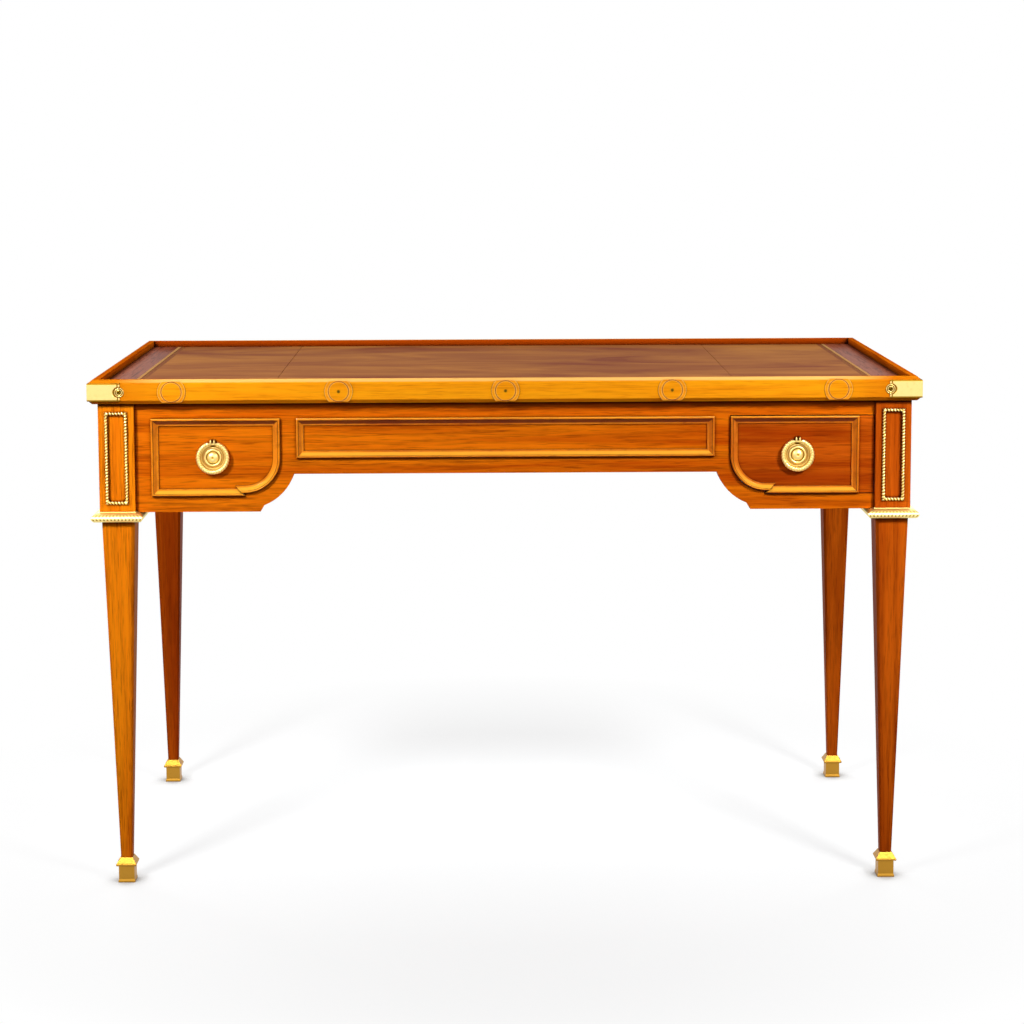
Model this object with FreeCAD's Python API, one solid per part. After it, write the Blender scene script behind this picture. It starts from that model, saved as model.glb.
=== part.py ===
"""Neo-classical games table: a rimmed top with a lift-out games panel over a backgammon well,
a moulded frieze with one working drawer and one sham drawer on each long side, and four
tapered legs with brass collars, sabots and rope-framed corner posts.

Frame: X along the length, Y from front to back (the front faces -Y), Z up from the floor.
The back is the front turned half a circle about Z, so every drawer is at its user's right.
"""
import FreeCAD, Part
import math
import os

V = FreeCAD.Vector
ORIGIN = V(0, 0, 0)
UP = V(0, 0, 1)

# Whole table
TABLE_HEIGHT = 750.0
TOP_LENGTH = 1200.0
TOP_DEPTH = 600.0
OVERHANG = 12.0             # top edge past the corner posts
FRIEZE_HEIGHT = 160.0       # posts and end blocks of the frieze
KNEE_FRIEZE_HEIGHT = 105.0  # frieze over the knees
FRIEZE_RECESS = 8.0         # frieze face behind the post face
FRIEZE_THICKNESS = 20.0
FRIEZE_MARGIN = 23.5        # plain border round every moulded panel

# Top frame
EDGE_HEIGHT = 35.0
EDGE_BEVEL = 5.5
RIM_WIDTH = 15.0
RIM_RISE = 9.5              # rim above the leather
LEDGE_WIDTH = 13.0          # rebate that carries the boards
LEDGE_HEIGHT = 9.5
SKIN = 1.2                  # leather, veneer strips and stringing
BAIZE = 1.5
END_STRIP_WIDTH = 41.0
STRINGING_WIDTH = 5.0
PANEL_GAP = 0.8             # round the lift-out panel
PANEL_SEAT_GAP = 0.2        # under the lift-out panel
STRAP_LENGTH = 47.0
STRAP_MARGIN = 1.25         # strap inside the flat band of the edge
STRAP_THICKNESS = 1.2
STRAP_BOSS = 15.4           # diameter of the screw boss at a strap's end
STRAP_SCREW_HEAD = 7.0
STRAP_SCREW_RISE = 0.5
ROUNDEL_DIAMETER = 41.6
ROUNDEL_RING = 5.8          # width of the low ring round the disc
ROUNDEL_STEP = 0.8          # disc in front of its ring
ROUNDEL_PROUD = 1.6
ROUNDEL_TRIM = 1.0          # roundel stops short of the top and bottom of the edge
ROUNDEL_END = 120.0         # end of the top to the first roundel
ROUNDEL_COUNT = 5
PINNED_ROUNDELS = 3         # middle roundels with a brass pin
PIN_DIAMETER = 4.0
PIN_PROUD = 0.8

# Legs, posts and their brass
POST_SIDE = 51.5
SUNK_DEPTH = 2.5
ROPE_MARGIN = 9.25          # rope frame inside the sides of the post
ROPE_TOP_MARGIN = 12.0
ROPE_FOOT_MARGIN = 13.0
ROPE_WIDTH = 4.3
ROPE_RISE = 2.4
ROPE_EDGE = 0.5             # square edge under the rope's slopes
ROPE_CREST = 1.8            # flat top of the rope
COLLAR_HEIGHT = 14.5
COLLAR_SPREAD = 8.8         # past the post, at its widest
COLLAR_FILLET = 1.2         # past the post, above the ovolo
COLLAR_FILLET_HEIGHT = 1.9
COLLAR_RETURN = 2.2         # foot of the collar inside its widest part
COLLAR_FOOT_BOW = 0.6
LEG_SHOULDER = 2.0          # leg inside the post, under the collar
LEG_FOOT = 17.0             # square, where it enters the sabot
LEG_CHAMFER = 4.2
LEG_FOOT_CHAMFER = 2.0
SABOT_HEIGHT = 37.0
SABOT_FLOOR = 4.0
SABOT_WALL = 3.0
SABOT_SPREAD = 0.9          # base past the block
SABOT_BASE = 2.0            # upright part of the base
SABOT_BASE_TAPER = 3.0
SABOT_RING = 3.5            # ring past the block
SABOT_RING_HEIGHT = 4.0
SABOT_RING_BOW = 1.0
SABOT_SLOPE = 8.0           # sloping top over the ring
SABOT_LIP = 0.5
TENON_THICKNESS = 10.0
TENON_LENGTH = 18.0
TENON_SHOULDER = 4.0        # top and bottom shoulders

# Frieze panels, drawers and their mouldings
MOULDING_WIDTH = 10.5
MOULDING_RISE = 3.8
MOULDING_EDGE = 2.1         # upright outer edge, under the rounded crest
MOULDING_CREST = 2.9        # crest inside the outer edge
MOULDING_CREST_BOW = 0.7
MOULDING_HOLLOW = 0.45      # sag of the inner slope
MOULDING_FILLET = 1.3       # height of the low inner step
MOULDING_FILLET_WIDTH = 1.5
DRAWER_PANEL_WIDTH = 186.5
PANEL_CORNER_RADIUS = 51.0  # rounded lower corner beside the knee hole
NIB_STEP = 4.2              # step where the rounded corner meets the lower edge
NIB_FOOT = 21.5             # end block's lower corner, from the arc centre
NIB_LEAN = 5.6
DRAWER_GAP = 1.2
DRAWER_STOP_GAP = 0.3       # closed drawer front in front of the case
DRAWER_REAR_SPACE = 110.0   # behind the closed drawer
DRAWER_WALL = 10.0
DRAWER_BOTTOM = 6.0
DRAWER_GROOVE = 4.0         # bottom board let into front and sides
DRAWER_BOTTOM_RISE = 8.0    # bottom board above the lower edge of the sides
BOX_CORNER_CLEARANCE = 5.0  # lower corner of the drawer box inside the rounded corner
BOX_DROP = 3.0              # drawer sides below the upper edge of the front
SLIDE_CLEARANCE = 1.0
RUNNER_GAP = 0.3
KICKER_GAP = 0.8
GUIDE_WIDTH = 12.0
GUIDE_HEIGHT = 20.0

# Ring pulls
PULL_OFFSET = 4.0           # pull outboard of its panel's centre
PULL_PLATE_RADIUS = 15.2
PULL_PLATE_RIM = 2.0        # thickness of the plate's rim
PULL_RIM_WIDTH = 1.7
PULL_BEAD_WIDTH = 4.6
PULL_BEAD_CREST = 2.9       # sharp crest inside the bead's outer edge
PULL_BEAD_RISE = 3.2
PULL_QUIRK = 1.0            # bottom of the bead's inner slope above the rim
PULL_DOME_RISE = 4.6
PULL_RING_STUFF = 7.2
PULL_RING_SIDES = 8
PULL_RING_CLEARANCE = 1.8   # ring round the plate
PULL_RING_SPACE = 3.0       # ring in front of the board
PULL_PIN = 3.0
PULL_PIN_CLEARANCE = 0.06
PULL_LUG_WIDTH = 9.2
PULL_LUG_PLAY = 0.5         # lug to the ring's ends
PULL_LUG_SLOT = 1.4
PULL_SLOT_DEPTH = 1.0
PULL_LUG_WALL = 1.8         # round the pin
PULL_WEB_LAP = 0.8          # lug's web over the plate's rim
PULL_STEM = 5.0
PULL_NUT = 11.0
PULL_NUT_THICKNESS = 4.0
PULL_STEM_END = 2.0         # stem past its nut

# Backgammon well and drawer bays
PARTITION = 15.0
WELL_FLOOR = 10.0
WELL_FLOOR_LIFT = 3.0       # underside above the knee frieze's lower edge
WELL_GROOVE = 4.0           # floor let into the partitions
WELL_BAR_WIDTH = 12.0
WELL_BAR_HEIGHT = 52.0
POINTS_PER_TABLE = 6
POINT_SPACE = 110.0         # between the tips of facing points
POINT_GAP = 6.0
POINT_THICKNESS = 1.2
BAY_FLOOR = 8.0

# Levels and faces worked out from the sizes above
EDGE_BOTTOM = TABLE_HEIGHT - EDGE_HEIGHT
EDGE_MIDDLE = TABLE_HEIGHT - EDGE_HEIGHT / 2
LEATHER_LEVEL = TABLE_HEIGHT - RIM_RISE
SKIN_BED = LEATHER_LEVEL - SKIN
LEDGE_LEVEL = EDGE_BOTTOM + LEDGE_HEIGHT
FRIEZE_BOTTOM = EDGE_BOTTOM - FRIEZE_HEIGHT
KNEE_LEVEL = EDGE_BOTTOM - KNEE_FRIEZE_HEIGHT
COLLAR_BOTTOM = FRIEZE_BOTTOM - COLLAR_HEIGHT
POST_OUTER_X = TOP_LENGTH / 2 - OVERHANG
POST_OUTER_Y = TOP_DEPTH / 2 - OVERHANG
POST_INNER_X = POST_OUTER_X - POST_SIDE
POST_INNER_Y = POST_OUTER_Y - POST_SIDE
LEG_X = POST_OUTER_X - POST_SIDE / 2
LEG_Y = POST_OUTER_Y - POST_SIDE / 2
FACE_X = POST_OUTER_X - FRIEZE_RECESS
FACE_Y = POST_OUTER_Y - FRIEZE_RECESS
INNER_X = FACE_X - FRIEZE_THICKNESS
INNER_Y = FACE_Y - FRIEZE_THICKNESS
STOP_Y = INNER_Y - DRAWER_STOP_GAP
RIM_X = TOP_LENGTH / 2 - RIM_WIDTH
RIM_Y = TOP_DEPTH / 2 - RIM_WIDTH
STRAP_X = TOP_LENGTH / 2 + STRAP_THICKNESS
STRAP_Y = TOP_DEPTH / 2 + STRAP_THICKNESS
ROUNDEL_Y = TOP_DEPTH / 2 + ROUNDEL_PROUD

PANEL_TOP = EDGE_BOTTOM - FRIEZE_MARGIN
PANEL_BOTTOM = FRIEZE_BOTTOM + FRIEZE_MARGIN
PANEL_OUTER = POST_INNER_X - FRIEZE_MARGIN
PANEL_INNER = PANEL_OUTER - DRAWER_PANEL_WIDTH
ARC_X = PANEL_INNER + PANEL_CORNER_RADIUS
ARC_FOOT = PANEL_BOTTOM + NIB_STEP
ARC_Z = ARC_FOOT + PANEL_CORNER_RADIUS
KNEE_ARC = PANEL_CORNER_RADIUS + FRIEZE_MARGIN
KNEE_PANEL_X = PANEL_INNER - FRIEZE_MARGIN
KNEE_PANEL_BOTTOM = KNEE_LEVEL + FRIEZE_MARGIN

PULL_X = (PANEL_INNER + PANEL_OUTER) / 2 + PULL_OFFSET
PULL_Z = (PANEL_TOP + PANEL_BOTTOM) / 2
PULL_RING_INNER = PULL_PLATE_RADIUS + PULL_RING_CLEARANCE
PULL_RING_RADIUS = PULL_RING_INNER + PULL_RING_STUFF / 2
PULL_RING_OPENING = math.asin((PULL_LUG_WIDTH / 2 + PULL_LUG_PLAY) / PULL_RING_INNER)
PULL_STANDOFF = PULL_RING_STUFF / 2 + PULL_RING_SPACE
PULL_PIVOT = PULL_RING_RADIUS * math.cos(PULL_RING_OPENING)
PULL_BORE = PULL_PIN / 2 + PULL_PIN_CLEARANCE
PULL_LUG_RADIUS = PULL_BORE + PULL_LUG_WALL

DIAGONAL = math.sqrt(0.5)
BOX_REACH = (PANEL_CORNER_RADIUS - BOX_CORNER_CLEARANCE) * DIAGONAL
BOX_INNER = ARC_X - BOX_REACH
BOX_OUTER = POST_INNER_X - DRAWER_GAP - SLIDE_CLEARANCE
BOX_BOTTOM = ARC_Z - BOX_REACH
BOX_TOP = PANEL_TOP - BOX_DROP
BOX_BACK = INNER_Y - DRAWER_REAR_SPACE
BAY_FLOOR_TOP = BOX_BOTTOM - RUNNER_GAP
PARTITION_FACE = BOX_INNER - SLIDE_CLEARANCE
SEAM_X = PARTITION_FACE - PARTITION / 2
WELL_X = PARTITION_FACE - PARTITION
WELL_FLOOR_TOP = KNEE_LEVEL + WELL_FLOOR_LIFT + WELL_FLOOR
WELL_FLOOR_UNDER = WELL_FLOOR_TOP - WELL_FLOOR


def box(x0, x1, y0, y1, z0, z1):
    """Block between two limits on each axis."""
    return Part.makeBox(x1 - x0, y1 - y0, z1 - z0, V(x0, y0, z0))


def line(start, end):
    """Straight edge."""
    return Part.LineSegment(start, end).toShape()


def arc(start, middle, end):
    """Circular edge through three points."""
    return Part.Arc(start, middle, end).toShape()


def through(points):
    """Edge through two points of a line or three points of an arc."""
    return line(*points) if len(points) == 2 else arc(*points)


def polygon(points):
    """Flat face with straight sides."""
    return Part.Face(Part.makePolygon(list(points) + [points[0]]))


def outline(edges):
    """Flat face inside joined edges."""
    return Part.Face(Part.Wire(edges))


def rod(radius, start, end):
    """Round bar between two points."""
    return Part.makeCylinder(radius, (end - start).Length, start, end - start)


def bowed(start, end, sag):
    """Three points of an arc that swells to the right of the way from start to end."""
    across = end[0] - start[0]
    along = end[1] - start[1]
    span = math.hypot(across, along)
    middle = ((start[0] + end[0]) / 2 + sag * along / span,
              (start[1] + end[1]) / 2 - sag * across / span)
    return [start, middle, end]


def turned(shape, degrees=180):
    """Copy turned about Z: half a turn makes the back of the table from its front."""
    copy = shape.copy()
    copy.rotate(ORIGIN, UP, degrees)
    return copy


def flipped_x(shape):
    """Copy mirrored left to right."""
    return shape.mirror(ORIGIN, V(1, 0, 0))


def flipped_y(shape):
    """Copy mirrored front to back."""
    return shape.mirror(ORIGIN, V(0, 1, 0))


def four_corners(shape):
    """Copies of a front right piece: front left, front right, back left, back right."""
    left = flipped_x(shape)
    return [left, shape, flipped_y(left), flipped_y(shape)]


def square_turning(edge):
    """Square form about the Z axis that shows the same outline from the front and from the side.

    edge is the right-hand outline from the bottom up, as lines and arcs of (half width, height).
    """
    right = [[V(half, 0, z) for half, z in points] for points in edge]
    left = [[V(-spot.x, 0, spot.z) for spot in reversed(points)] for points in reversed(right)]
    top = [right[-1][-1], left[0][0]]
    foot = [left[-1][-1], right[0][0]]
    face = outline([through(points) for points in right + [top] + left + [foot]])
    reach = 2 * max(half for points in edge for half, _ in points)
    slab = face.extrude(V(0, 2 * reach, 0)).translated(V(0, -reach, 0))
    return slab.common(turned(slab, 90))


def at_leg(shape):
    """Moves a piece from the Z axis to the front right leg."""
    return shape.translated(V(LEG_X, -LEG_Y, 0))


# Legs, collars and sabots

def leg():
    """Front right leg: square post with two sunk panels, then a chamfered taper into the sabot."""
    post = box(POST_INNER_X, POST_OUTER_X, -POST_OUTER_Y, -POST_INNER_Y, FRIEZE_BOTTOM, EDGE_BOTTOM)

    def taper(upper, lower):
        slope = (upper - lower) / (COLLAR_BOTTOM - SABOT_HEIGHT)
        return [[(lower + slope * (z - SABOT_HEIGHT), z) for z in (SABOT_FLOOR, FRIEZE_BOTTOM)]]

    top = POST_SIDE / 2 - LEG_SHOULDER
    foot = LEG_FOOT / 2
    sides = square_turning(taper(top, foot))
    top_across = (2 * top - LEG_CHAMFER) * DIAGONAL
    foot_across = (2 * foot - LEG_FOOT_CHAMFER) * DIAGONAL
    chamfers = turned(square_turning(taper(top_across, foot_across)), 45)
    shank = at_leg(sides.common(chamfers))
    half = POST_SIDE / 2 - ROPE_MARGIN - ROPE_WIDTH
    high = EDGE_BOTTOM - ROPE_TOP_MARGIN - ROPE_WIDTH
    low = FRIEZE_BOTTOM + ROPE_FOOT_MARGIN + ROPE_WIDTH
    front_panel = box(LEG_X - half, LEG_X + half, -POST_OUTER_Y, SUNK_DEPTH - POST_OUTER_Y, low, high)
    side_panel = box(POST_OUTER_X - SUNK_DEPTH, POST_OUTER_X, -LEG_Y - half, half - LEG_Y, low, high)
    return post.fuse(shank).cut([front_panel, side_panel]).removeSplitter()


def collar(leg_shape):
    """Square collar under a post: a fillet and a quarter round that returns at its foot."""
    half = POST_SIDE / 2
    quarter = COLLAR_SPREAD - COLLAR_FILLET
    top = (half + COLLAR_FILLET, FRIEZE_BOTTOM)
    neck = (half + COLLAR_FILLET, FRIEZE_BOTTOM - COLLAR_FILLET_HEIGHT)
    widest = (half + COLLAR_SPREAD, neck[1] - quarter)
    foot = (half + COLLAR_SPREAD - COLLAR_RETURN, COLLAR_BOTTOM)
    edge = [bowed(foot, widest, COLLAR_FOOT_BOW), bowed(widest, neck, quarter * (1 - DIAGONAL)), [neck, top]]
    return at_leg(square_turning(edge)).cut(leg_shape)


def sabot(leg_shape):
    """Brass shoe: a sloping ring over a square block with a slightly spread base."""
    block = LEG_FOOT / 2 + SABOT_WALL
    base = block + SABOT_SPREAD
    ring = block + SABOT_RING - SABOT_RING_BOW
    lip = LEG_FOOT / 2 + SABOT_LIP
    base_top = SABOT_BASE + SABOT_BASE_TAPER
    ring_top = SABOT_HEIGHT - SABOT_SLOPE
    ring_low = ring_top - SABOT_RING_HEIGHT
    edge = [
        [(base, 0), (base, SABOT_BASE)],
        [(base, SABOT_BASE), (block, base_top)],
        [(block, base_top), (block, ring_low)],
        [(block, ring_low), (ring, ring_low)],
        bowed((ring, ring_low), (ring, ring_top), SABOT_RING_BOW),
        [(ring, ring_top), (lip, SABOT_HEIGHT)],
    ]
    return at_leg(square_turning(edge)).cut(leg_shape)


def rope_frames():
    """Two rectangular rope mouldings on the outer faces of the front right post."""
    half = POST_SIDE / 2 - ROPE_MARGIN
    high = EDGE_BOTTOM - ROPE_TOP_MARGIN
    low = FRIEZE_BOTTOM + ROPE_FOOT_MARGIN
    front = panel_frame(LEG_X - half, LEG_X + half, low, high, -POST_OUTER_Y, rope_profile())
    side = panel_frame(LEG_Y - half, LEG_Y + half, low, high, -POST_OUTER_X, rope_profile())
    return [front, flipped_y(turned(side, 90))]


# Mouldings: profiles are drawn as (inward, outward) from the outer edge of a panel

def rope_profile():
    """Bead with sloping sides and a flat crest, which carries the rope twist."""
    slope = (ROPE_WIDTH - ROPE_CREST) / 2
    corners = [(0, 0), (0, ROPE_EDGE), (slope, ROPE_RISE), (ROPE_WIDTH - slope, ROPE_RISE),
               (ROPE_WIDTH, ROPE_EDGE), (ROPE_WIDTH, 0)]
    return [list(side) for side in zip(corners, corners[1:] + corners[:1])]


def frieze_profile():
    """Rounded crest near the outer edge, a hollow slope inward and a low fillet."""
    shoulder = (0, MOULDING_EDGE)
    crest = (MOULDING_CREST, MOULDING_RISE)
    slope_foot = (MOULDING_WIDTH - MOULDING_FILLET_WIDTH, MOULDING_FILLET)
    fillet = (MOULDING_WIDTH, MOULDING_FILLET)
    return [
        [(0, 0), shoulder],
        bowed(shoulder, crest, -MOULDING_CREST_BOW),
        bowed(crest, slope_foot, MOULDING_HOLLOW),
        [slope_foot, fillet],
        [fillet, (MOULDING_WIDTH, 0)],
        [(MOULDING_WIDTH, 0), (0, 0)],
    ]


def sweep(path_edges, profile, place):
    """Moulding carried along a path with mitred corners; place(inward, outward) sets its profile."""
    edges = [through([place(*point) for point in points]) for points in profile]
    return Part.Wire(path_edges).makePipeShell([Part.Wire(edges)], True, False, 1)


def panel_frame(x0, x1, z0, z1, y, profile):
    """Rectangular moulding on a face that looks to -Y."""
    middle = (x0 + x1) / 2
    corners = [V(middle, y, z0), V(x1, y, z0), V(x1, y, z1), V(x0, y, z1), V(x0, y, z0)]
    path = [line(a, b) for a, b in zip(corners, corners[1:] + corners[:1])]
    return sweep(path, profile, lambda inward, out: V(middle, y - out, z0 + inward))


def drawer_moulding():
    """Moulding of the front right drawer: square outer corners, a rounded lower inner corner,
    and a mitred nib where the rounded stretch steps up from the lower edge."""
    y = -FACE_Y
    lap = 1.5 * MOULDING_WIDTH
    joint = ARC_X + 2 * lap
    slant = PANEL_CORNER_RADIUS * DIAGONAL
    start = V(ARC_X + lap, y, ARC_FOOT)
    rounded = [
        line(start, V(ARC_X, y, ARC_FOOT)),
        arc(V(ARC_X, y, ARC_FOOT), V(ARC_X - slant, y, ARC_Z - slant), V(PANEL_INNER, y, ARC_Z)),
        line(V(PANEL_INNER, y, ARC_Z), V(PANEL_INNER, y, PANEL_TOP)),
        line(V(PANEL_INNER, y, PANEL_TOP), V(PANEL_OUTER, y, PANEL_TOP)),
        line(V(PANEL_OUTER, y, PANEL_TOP), V(PANEL_OUTER, y, PANEL_BOTTOM)),
        line(V(PANEL_OUTER, y, PANEL_BOTTOM), V(joint, y, PANEL_BOTTOM)),
    ]
    upper = sweep(rounded, frieze_profile(), lambda inward, out: V(start.x, y - out, ARC_FOOT + inward))
    straight = [line(V(joint, y, PANEL_BOTTOM), V(ARC_X, y, PANEL_BOTTOM))]
    lower = sweep(straight, frieze_profile(), lambda inward, out: V(joint, y - out, PANEL_BOTTOM + inward))
    reach = joint - ARC_X
    below_mitre = polygon([V(ARC_X, y - reach, PANEL_BOTTOM), V(joint, y - reach, PANEL_BOTTOM + reach),
                           V(joint, y - reach, PANEL_BOTTOM)])
    wedge = below_mitre.extrude(V(0, 2 * reach, 0))
    return upper.cut(wedge).fuse(lower.common(wedge)).removeSplitter()


# Frieze

def drawer_outline(gap, outer, y):
    """Shape of the front right drawer front, grown by gap, out to a given outer edge."""
    left = PANEL_INNER - gap
    top = PANEL_TOP + gap
    bottom = PANEL_BOTTOM - gap
    nib = ARC_X - gap
    radius = PANEL_CORNER_RADIUS + gap
    slant = radius * DIAGONAL
    start = V(nib, y, ARC_Z - math.sqrt(radius ** 2 - gap ** 2))
    return outline([
        line(V(outer, y, bottom), V(nib, y, bottom)),
        line(V(nib, y, bottom), start),
        arc(start, V(ARC_X - slant, y, ARC_Z - slant), V(left, y, ARC_Z)),
        line(V(left, y, ARC_Z), V(left, y, top)),
        line(V(left, y, top), V(outer, y, top)),
        line(V(outer, y, top), V(outer, y, bottom)),
    ])


def knee_side(side, y):
    """Lower edge of the frieze from an end block up to the knee frieze, on one side."""
    nib_top = NIB_FOOT + NIB_LEAN
    rise = ARC_Z - KNEE_LEVEL
    slant = KNEE_ARC * DIAGONAL
    foot = V(side * (ARC_X - NIB_FOOT), y, FRIEZE_BOTTOM)
    lean = V(side * (ARC_X - nib_top), y, ARC_Z - math.sqrt(KNEE_ARC ** 2 - nib_top ** 2))
    bulge = V(side * (ARC_X - slant), y, ARC_Z - slant)
    crown = V(side * (ARC_X - math.sqrt(KNEE_ARC ** 2 - rise ** 2)), y, KNEE_LEVEL)
    return foot, lean, bulge, crown


def tenon(z0, z1):
    """Tongue on the right-hand end of the front frieze."""
    middle = -FACE_Y + FRIEZE_THICKNESS / 2
    half = TENON_THICKNESS / 2
    return box(POST_INNER_X, POST_INNER_X + TENON_LENGTH, middle - half, middle + half,
               z0 + TENON_SHOULDER, z1 - TENON_SHOULDER)


def front_frieze():
    """Front board: end blocks with rounded inner corners, a raised knee frieze between them,
    and the drawer's opening cut through to the right-hand post."""
    y = -FACE_Y
    left_foot, left_lean, left_bulge, left_crown = knee_side(-1, y)
    right_foot, right_lean, right_bulge, right_crown = knee_side(1, y)
    low_left = V(-POST_INNER_X, y, FRIEZE_BOTTOM)
    low_right = V(POST_INNER_X, y, FRIEZE_BOTTOM)
    top_left = V(-POST_INNER_X, y, EDGE_BOTTOM)
    top_right = V(POST_INNER_X, y, EDGE_BOTTOM)
    face = outline([
        line(low_left, left_foot),
        line(left_foot, left_lean),
        arc(left_lean, left_bulge, left_crown),
        line(left_crown, right_crown),
        arc(right_crown, right_bulge, right_lean),
        line(right_lean, right_foot),
        line(right_foot, low_right),
        line(low_right, top_right),
        line(top_right, top_left),
        line(top_left, low_left),
    ])
    through_board = V(0, FRIEZE_THICKNESS, 0)
    opening = drawer_outline(DRAWER_GAP, POST_INNER_X, y)
    board = face.extrude(through_board).cut(opening.extrude(through_board))
    tenons = [
        tenon(PANEL_TOP + DRAWER_GAP, EDGE_BOTTOM),
        tenon(FRIEZE_BOTTOM, PANEL_BOTTOM - DRAWER_GAP),
        flipped_x(tenon(FRIEZE_BOTTOM, EDGE_BOTTOM)),
    ]
    return board.fuse(tenons).removeSplitter()


def right_frieze():
    """End board between the right-hand posts, tenoned into both."""
    board = box(INNER_X, FACE_X, -POST_INNER_Y, POST_INNER_Y, FRIEZE_BOTTOM, EDGE_BOTTOM)
    middle = FACE_X - FRIEZE_THICKNESS / 2
    half = TENON_THICKNESS / 2
    reach = POST_INNER_Y + TENON_LENGTH
    tongues = box(middle - half, middle + half, -reach, reach,
                  FRIEZE_BOTTOM + TENON_SHOULDER, EDGE_BOTTOM - TENON_SHOULDER)
    return board.fuse(tongues).removeSplitter()


def right_panel_moulding():
    """Rectangular moulding on the right-hand end board."""
    half = POST_INNER_Y - FRIEZE_MARGIN
    return turned(panel_frame(-half, half, PANEL_BOTTOM, PANEL_TOP, -FACE_X, frieze_profile()), 90)


# Ring pulls: made on the front right panel

def at_pull(x, out, z):
    """Point in front of the front right panel, measured from the pull's centre."""
    return V(PULL_X + x, -FACE_Y - out, PULL_Z + z)


def turned_plate():
    """Round back plate: a flat rim, a raised bead with a sharp crest, and a dome inside it."""
    rim = PULL_PLATE_RIM
    bead = PULL_PLATE_RADIUS - PULL_RIM_WIDTH
    crest = (bead - PULL_BEAD_CREST, rim + PULL_BEAD_RISE)
    quirk = (bead - PULL_BEAD_WIDTH, rim + PULL_QUIRK)
    crown = (0, quirk[1] + PULL_DOME_RISE)
    ball = (quirk[0] ** 2 + PULL_DOME_RISE ** 2) / (2 * PULL_DOME_RISE)
    dome_bow = ball * (1 - math.cos(math.atan2(quirk[0], ball - PULL_DOME_RISE) / 2))
    edge = [
        [(0, 0), (PULL_PLATE_RADIUS, 0)],
        [(PULL_PLATE_RADIUS, 0), (PULL_PLATE_RADIUS, rim)],
        [(PULL_PLATE_RADIUS, rim), (bead, rim)],
        [(bead, rim), crest],
        [crest, quirk],
        bowed(quirk, crown, dome_bow),
        [crown, (0, 0)],
    ]
    half = outline([through([at_pull(r, out, 0) for r, out in points]) for points in edge])
    return half.revolve(at_pull(0, 0, 0), V(0, 1, 0), 360)


def pull_plate():
    """Turned back plate, the slotted lug on the web above it, and the stem through the board."""
    wide = PULL_LUG_WIDTH / 2
    low = PULL_PIVOT - PULL_LUG_RADIUS
    high = PULL_PIVOT + PULL_LUG_RADIUS
    web_foot = PULL_PLATE_RADIUS - PULL_WEB_LAP
    front = PULL_STANDOFF + PULL_LUG_RADIUS

    def spot(out, z):
        return at_pull(-wide, out, z)

    side = outline([
        line(spot(0, web_foot), spot(PULL_PLATE_RIM, web_foot)),
        line(spot(PULL_PLATE_RIM, web_foot), spot(PULL_PLATE_RIM, low)),
        line(spot(PULL_PLATE_RIM, low), spot(PULL_STANDOFF, low)),
        arc(spot(PULL_STANDOFF, low), spot(front, PULL_PIVOT), spot(PULL_STANDOFF, high)),
        line(spot(PULL_STANDOFF, high), spot(0, high)),
        line(spot(0, high), spot(0, web_foot)),
    ])
    lug = side.extrude(V(PULL_LUG_WIDTH, 0, 0))
    slot_foot = at_pull(-PULL_LUG_SLOT / 2, front, low)
    slot = Part.makeBox(PULL_LUG_SLOT, PULL_SLOT_DEPTH, high - low, slot_foot)
    bore = rod(PULL_BORE, at_pull(-PULL_LUG_WIDTH, PULL_STANDOFF, PULL_PIVOT),
               at_pull(PULL_LUG_WIDTH, PULL_STANDOFF, PULL_PIVOT))
    stem_end = -FRIEZE_THICKNESS - PULL_NUT_THICKNESS - PULL_STEM_END
    stem = rod(PULL_STEM / 2, at_pull(0, PULL_PLATE_RIM, 0), at_pull(0, stem_end, 0))
    return turned_plate().fuse([lug.cut([slot, bore]), stem]).removeSplitter()


def pull_ring():
    """Eight-sided ring, open at the top, where a thin pin crosses the lug."""
    half_side = math.pi / PULL_RING_SIDES
    corner = PULL_RING_STUFF / 2 / math.cos(half_side)
    turns = [half_side * (2 * side + 1) for side in range(PULL_RING_SIDES)]
    section = polygon([at_pull(PULL_RING_RADIUS + corner * math.cos(turn),
                               PULL_STANDOFF + corner * math.sin(turn), 0) for turn in turns])
    opening = math.degrees(PULL_RING_OPENING)
    centre = at_pull(0, 0, 0)
    section.rotate(centre, V(0, 1, 0), opening - 90)
    band = section.revolve(centre, V(0, 1, 0), 360 - 2 * opening)
    reach = PULL_RING_RADIUS * math.sin(PULL_RING_OPENING) + PULL_PIN / 2
    pin = rod(PULL_PIN / 2, at_pull(-reach, PULL_STANDOFF, PULL_PIVOT),
              at_pull(reach, PULL_STANDOFF, PULL_PIVOT))
    return band.fuse(pin).removeSplitter()


def pull_nut(plate_shape):
    """Square nut on the stem, behind the board."""
    half = PULL_NUT / 2
    inside = -FACE_Y + FRIEZE_THICKNESS
    nut = box(PULL_X - half, PULL_X + half, inside, inside + PULL_NUT_THICKNESS,
              PULL_Z - half, PULL_Z + half)
    return nut.cut(plate_shape)


# Drawer: made at the front right

def drawer_bottom():
    """Thin board let into the front and the sides, under the back."""
    low = BOX_BOTTOM + DRAWER_BOTTOM_RISE
    edge = DRAWER_WALL - DRAWER_GROOVE
    return box(BOX_INNER + edge, BOX_OUTER - edge, -INNER_Y - DRAWER_GROOVE, BOX_BACK,
               low, low + DRAWER_BOTTOM)


def drawer_front(plate_shape):
    """Front board with the rounded lower corner, grooved for the bottom and bored for the pull."""
    board = drawer_outline(0, POST_INNER_X - DRAWER_GAP, -FACE_Y).extrude(V(0, FRIEZE_THICKNESS, 0))
    return board.cut([drawer_bottom(), plate_shape])


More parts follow.
